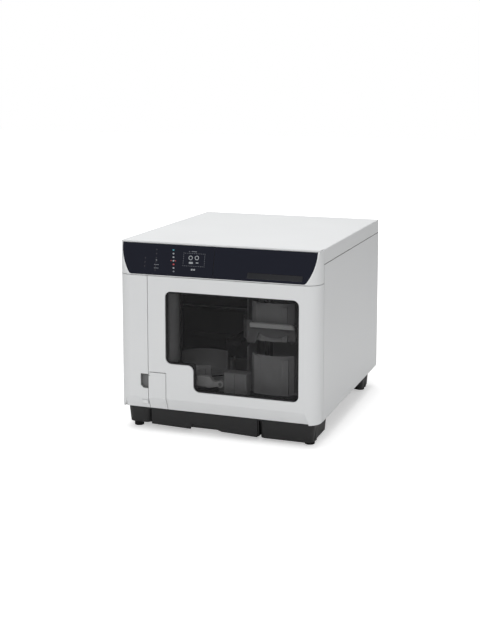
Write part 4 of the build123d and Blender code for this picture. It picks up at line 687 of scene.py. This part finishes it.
middle = (CHANNEL_X, FRONT + CHANNEL_DEPTH, (CHANNEL_TOP + CHANNEL_LOW) / 2)
bpy.ops.mesh.primitive_cylinder_add(
    vertices=48, radius=CHANNEL_R, depth=CHANNEL_TOP - CHANNEL_LOW, location=middle
)
channel = bpy.context.active_object
edit(channel)
bpy.ops.mesh.bisect(plane_co=middle, plane_no=(0, 1, 0), clear_outer=True, use_fill=True)
bpy.ops.mesh.select_all(action="DESELECT")
bpy.ops.object.mode_set(mode="OBJECT")
low_z = min(v.co.z for v in channel.data.vertices)
for line in channel.data.edges:
    ends = [channel.data.vertices[i].co for i in line.vertices]
    line.select = all(abs(end.z - low_z) < 1e-5 for end in ends)
bpy.ops.object.mode_set(mode="EDIT")
bpy.ops.mesh.select_mode(type="EDGE")
bpy.ops.mesh.bevel(offset=0.005, segments=4)
bpy.ops.object.mode_set(mode="OBJECT")
channel_grey = moulded("channel_grey", (0.27, 0.27, 0.273), 0.32, 0.06, 2200.0, 0.08)
settle(channel, "cable_channel", channel_grey, cabinet)

# %% Its backing strip
BACKING_WIDE, BACKING_T = 0.034, 0.0024
BACKING_DEPTH = CHANNEL_DEPTH + 0.0014  # its face lies just inside the channel's back
middle = (CHANNEL_X, FRONT + BACKING_DEPTH, (DECK_TOP + CHANNEL_TOP) / 2)
bpy.ops.mesh.primitive_cube_add(size=1, location=middle)
backing = bpy.context.active_object
backing.scale = (BACKING_WIDE, BACKING_T, CHANNEL_TOP - DECK_TOP)
bpy.ops.object.transform_apply(location=False, rotation=False, scale=True)
edit(backing)
bpy.ops.mesh.bevel(offset=0.0008, segments=2)
bpy.ops.object.mode_set(mode="OBJECT")
settle(backing, "channel_backing", finishes["black_plastic"], cabinet)

# %% [markdown]
# ## Bar across the bin carrier
# A light rounded bar crosses the front of the carrier, under the upper bin. Its right end is cut
# off at a slant: the upper corners of a box's end are moved in, and every edge is bevelled.

# %% Carrier bar
carrier = nodes["stacker_carrier"]
bin_carrier = body_of(carrier)[0]
BAR_LEFT, BAR_RIGHT, BAR_LOW, BAR_TOP = 0.0560, 0.1400, 0.2035, 0.2125
BAR_T = 0.0075
BAR_PROUD = 0.003  # its middle stands this far before the carrier's front
SLANT = 0.006
NEAR = 1e-4
bar_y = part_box("stacker_carrier")[0][1] - BAR_PROUD
middle = ((BAR_LEFT + BAR_RIGHT) / 2, bar_y, (BAR_LOW + BAR_TOP) / 2)
bpy.ops.mesh.primitive_cube_add(size=1, location=middle)
bar = bpy.context.active_object
bar.scale = (BAR_RIGHT - BAR_LEFT, BAR_T, BAR_TOP - BAR_LOW)
bpy.ops.object.transform_apply(location=True, rotation=False, scale=True)
edit(bar)
bpy.ops.mesh.select_all(action="DESELECT")
bpy.ops.object.mode_set(mode="OBJECT")
for corner in bar.data.vertices:
    corner.select = corner.co.x > BAR_RIGHT - NEAR and corner.co.z > BAR_TOP - NEAR
bpy.ops.object.mode_set(mode="EDIT")
bpy.ops.mesh.select_mode(type="VERT")
bpy.ops.transform.translate(value=(-SLANT, 0, 0))
bpy.ops.mesh.select_all(action="SELECT")
bpy.ops.mesh.bevel(offset=0.0022, segments=3)
bpy.ops.object.mode_set(mode="OBJECT")
bar_grey = moulded("bar_grey", (0.82, 0.82, 0.82), 0.4, 0.05, 2200.0, 0.1)
settle(bar, "carrier_bar", bar_grey, bin_carrier)

# %% [markdown]
# ## Numeral on the carrier
# The carrier's left post is marked with a light 1, for the first bin, which the built-in font
# draws as a plain upright bar. Text is turned into a mesh while it still lies flat, and only
# then stood up on the post.

# %% Numeral
bpy.ops.object.text_add(location=(0, 0, 0))
numeral = bpy.context.active_object
numeral.data.body = "1"
numeral.data.size = 0.011
numeral.data.align_x = "CENTER"
numeral.data.align_y = "CENTER"
numeral.data.extrude = 0.00015
bpy.ops.object.select_all(action="DESELECT")
numeral.select_set(True)
bpy.context.view_layer.objects.active = numeral
bpy.ops.object.convert(target="MESH")
numeral = bpy.context.active_object
POST_X, POST_Z = 0.0500, 0.190  # where the post is marked
numeral.rotation_euler = (pi / 2, 0, 0)
numeral.location = (POST_X, seen_at(carrier, POST_X, POST_Z), POST_Z)
settle(numeral, "bin_numeral", paint["white"], bin_carrier)

# %% [markdown]
# ## Guide strip beside the drawer
# A black strip on the side of the right front block closes the slot beside the drawer, so that no
# light shows through it. Two rays, cast 30 mm behind the front, find the faces on either side.
# The drawer is narrower there than at its front, so the strip comes out nearly 12 mm wide. It
# overlaps the drawer's front, its runner and its rail, and ought to be cut back to the slot.

# %% Guide strip
in_slot = Vector((0.0755, FRONT + 0.030, 0.025))
block_x = nodes["base_moulding"].ray_cast(in_slot, Vector((1, 0, 0)))[1].x
drawer_x = nodes["drawer"].ray_cast(in_slot, Vector((-1, 0, 0)))[1].x
print("slot from", round(drawer_x, 4), "to", round(block_x, 4))

GUIDE_CLEAR = 0.0006  # left free beside the drawer's wall
GUIDE_LOW, GUIDE_TOP = 0.0090, 0.0415
GUIDE_DEPTH, GUIDE_LONG = 0.0150, 0.090
guide_left = drawer_x + GUIDE_CLEAR
guide_y = FRONT + GUIDE_DEPTH + GUIDE_LONG / 2
middle = ((guide_left + block_x) / 2, guide_y, (GUIDE_LOW + GUIDE_TOP) / 2)
bpy.ops.mesh.primitive_cube_add(size=1, location=middle)
guide = bpy.context.active_object
guide.scale = (block_x - guide_left, GUIDE_LONG, GUIDE_TOP - GUIDE_LOW)
bpy.ops.object.transform_apply(location=False, rotation=False, scale=True)
edit(guide)
bpy.ops.mesh.bevel(offset=0.0003, segments=2)
bpy.ops.object.mode_set(mode="OBJECT")
settle(guide, "drawer_guide", finishes["black_plastic"], cabinet)

# %% [markdown]
# ## Screws of the rear panel
# The rear panel is held by small cross-head screws along its edges. One head is modelled: a short
# cylinder with a cross cut into it by a boolean. The eight in the panel are copies of it, each
# with its own mesh, and are sunk to half their height.

# %% One screw head
HEAD_R = 0.0030
HEAD_H = 0.0018
bpy.ops.mesh.primitive_cylinder_add(
    vertices=32, radius=HEAD_R, depth=HEAD_H, location=(0, 0, HEAD_H / 2)
)
head = bpy.context.active_object

# %% Its cross
CROSS_LONG, CROSS_WIDE, CROSS_HIGH = 0.0032, 0.0007, 0.0018
for size in ((CROSS_LONG, CROSS_WIDE, CROSS_HIGH), (CROSS_WIDE, CROSS_LONG, CROSS_HIGH)):
    bpy.ops.mesh.primitive_cube_add(size=1, location=(0, 0, HEAD_H))
    blade = bpy.context.active_object
    blade.scale = size
    bpy.ops.object.transform_apply(location=True, rotation=True, scale=True)
    cut = head.modifiers.new("cross", "BOOLEAN")
    cut.object = blade
    cut.operation = "DIFFERENCE"
    bpy.ops.object.select_all(action="DESELECT")
    bpy.context.view_layer.objects.active = head
    head.select_set(True)
    bpy.ops.object.modifier_apply(modifier=cut.name)
    bpy.data.objects.remove(blade)
print("screw head", len(head.data.polygons), "faces")

# %% Screws in their places
panel_low, panel_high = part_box("rear_panel")
screw_steel = metal("screw_zinc", (0.62, 0.62, 0.60), 0.32, 500.0)
EDGE_IN, END_IN = 0.0085, 0.014  # from the panel's sides, and from its ends
FOOT_X, FOOT_IN = 0.060, 0.010  # the two along its lower edge
TURN = 0.35  # each cross is left at another angle
rows = (panel_low[2] + END_IN, (panel_low[2] + panel_high[2]) / 2, panel_high[2] - END_IN)
places = [(x, z) for x in (panel_low[0] + EDGE_IN, panel_high[0] - EDGE_IN) for z in rows]
places += [(-FOOT_X, panel_low[2] + FOOT_IN), (FOOT_X, panel_low[2] + FOOT_IN)]
for number, (x, z) in enumerate(places, 1):
    screw = head.copy()
    screw.data = head.data.copy()
    bpy.context.scene.collection.objects.link(screw)
    screw.rotation_euler = (-pi / 2, TURN * number, 0)
    screw.location = (x, panel_high[1], z)
    settle(screw, f"rear_screw_{number}", screw_steel, cabinet)
bpy.data.objects.remove(head)
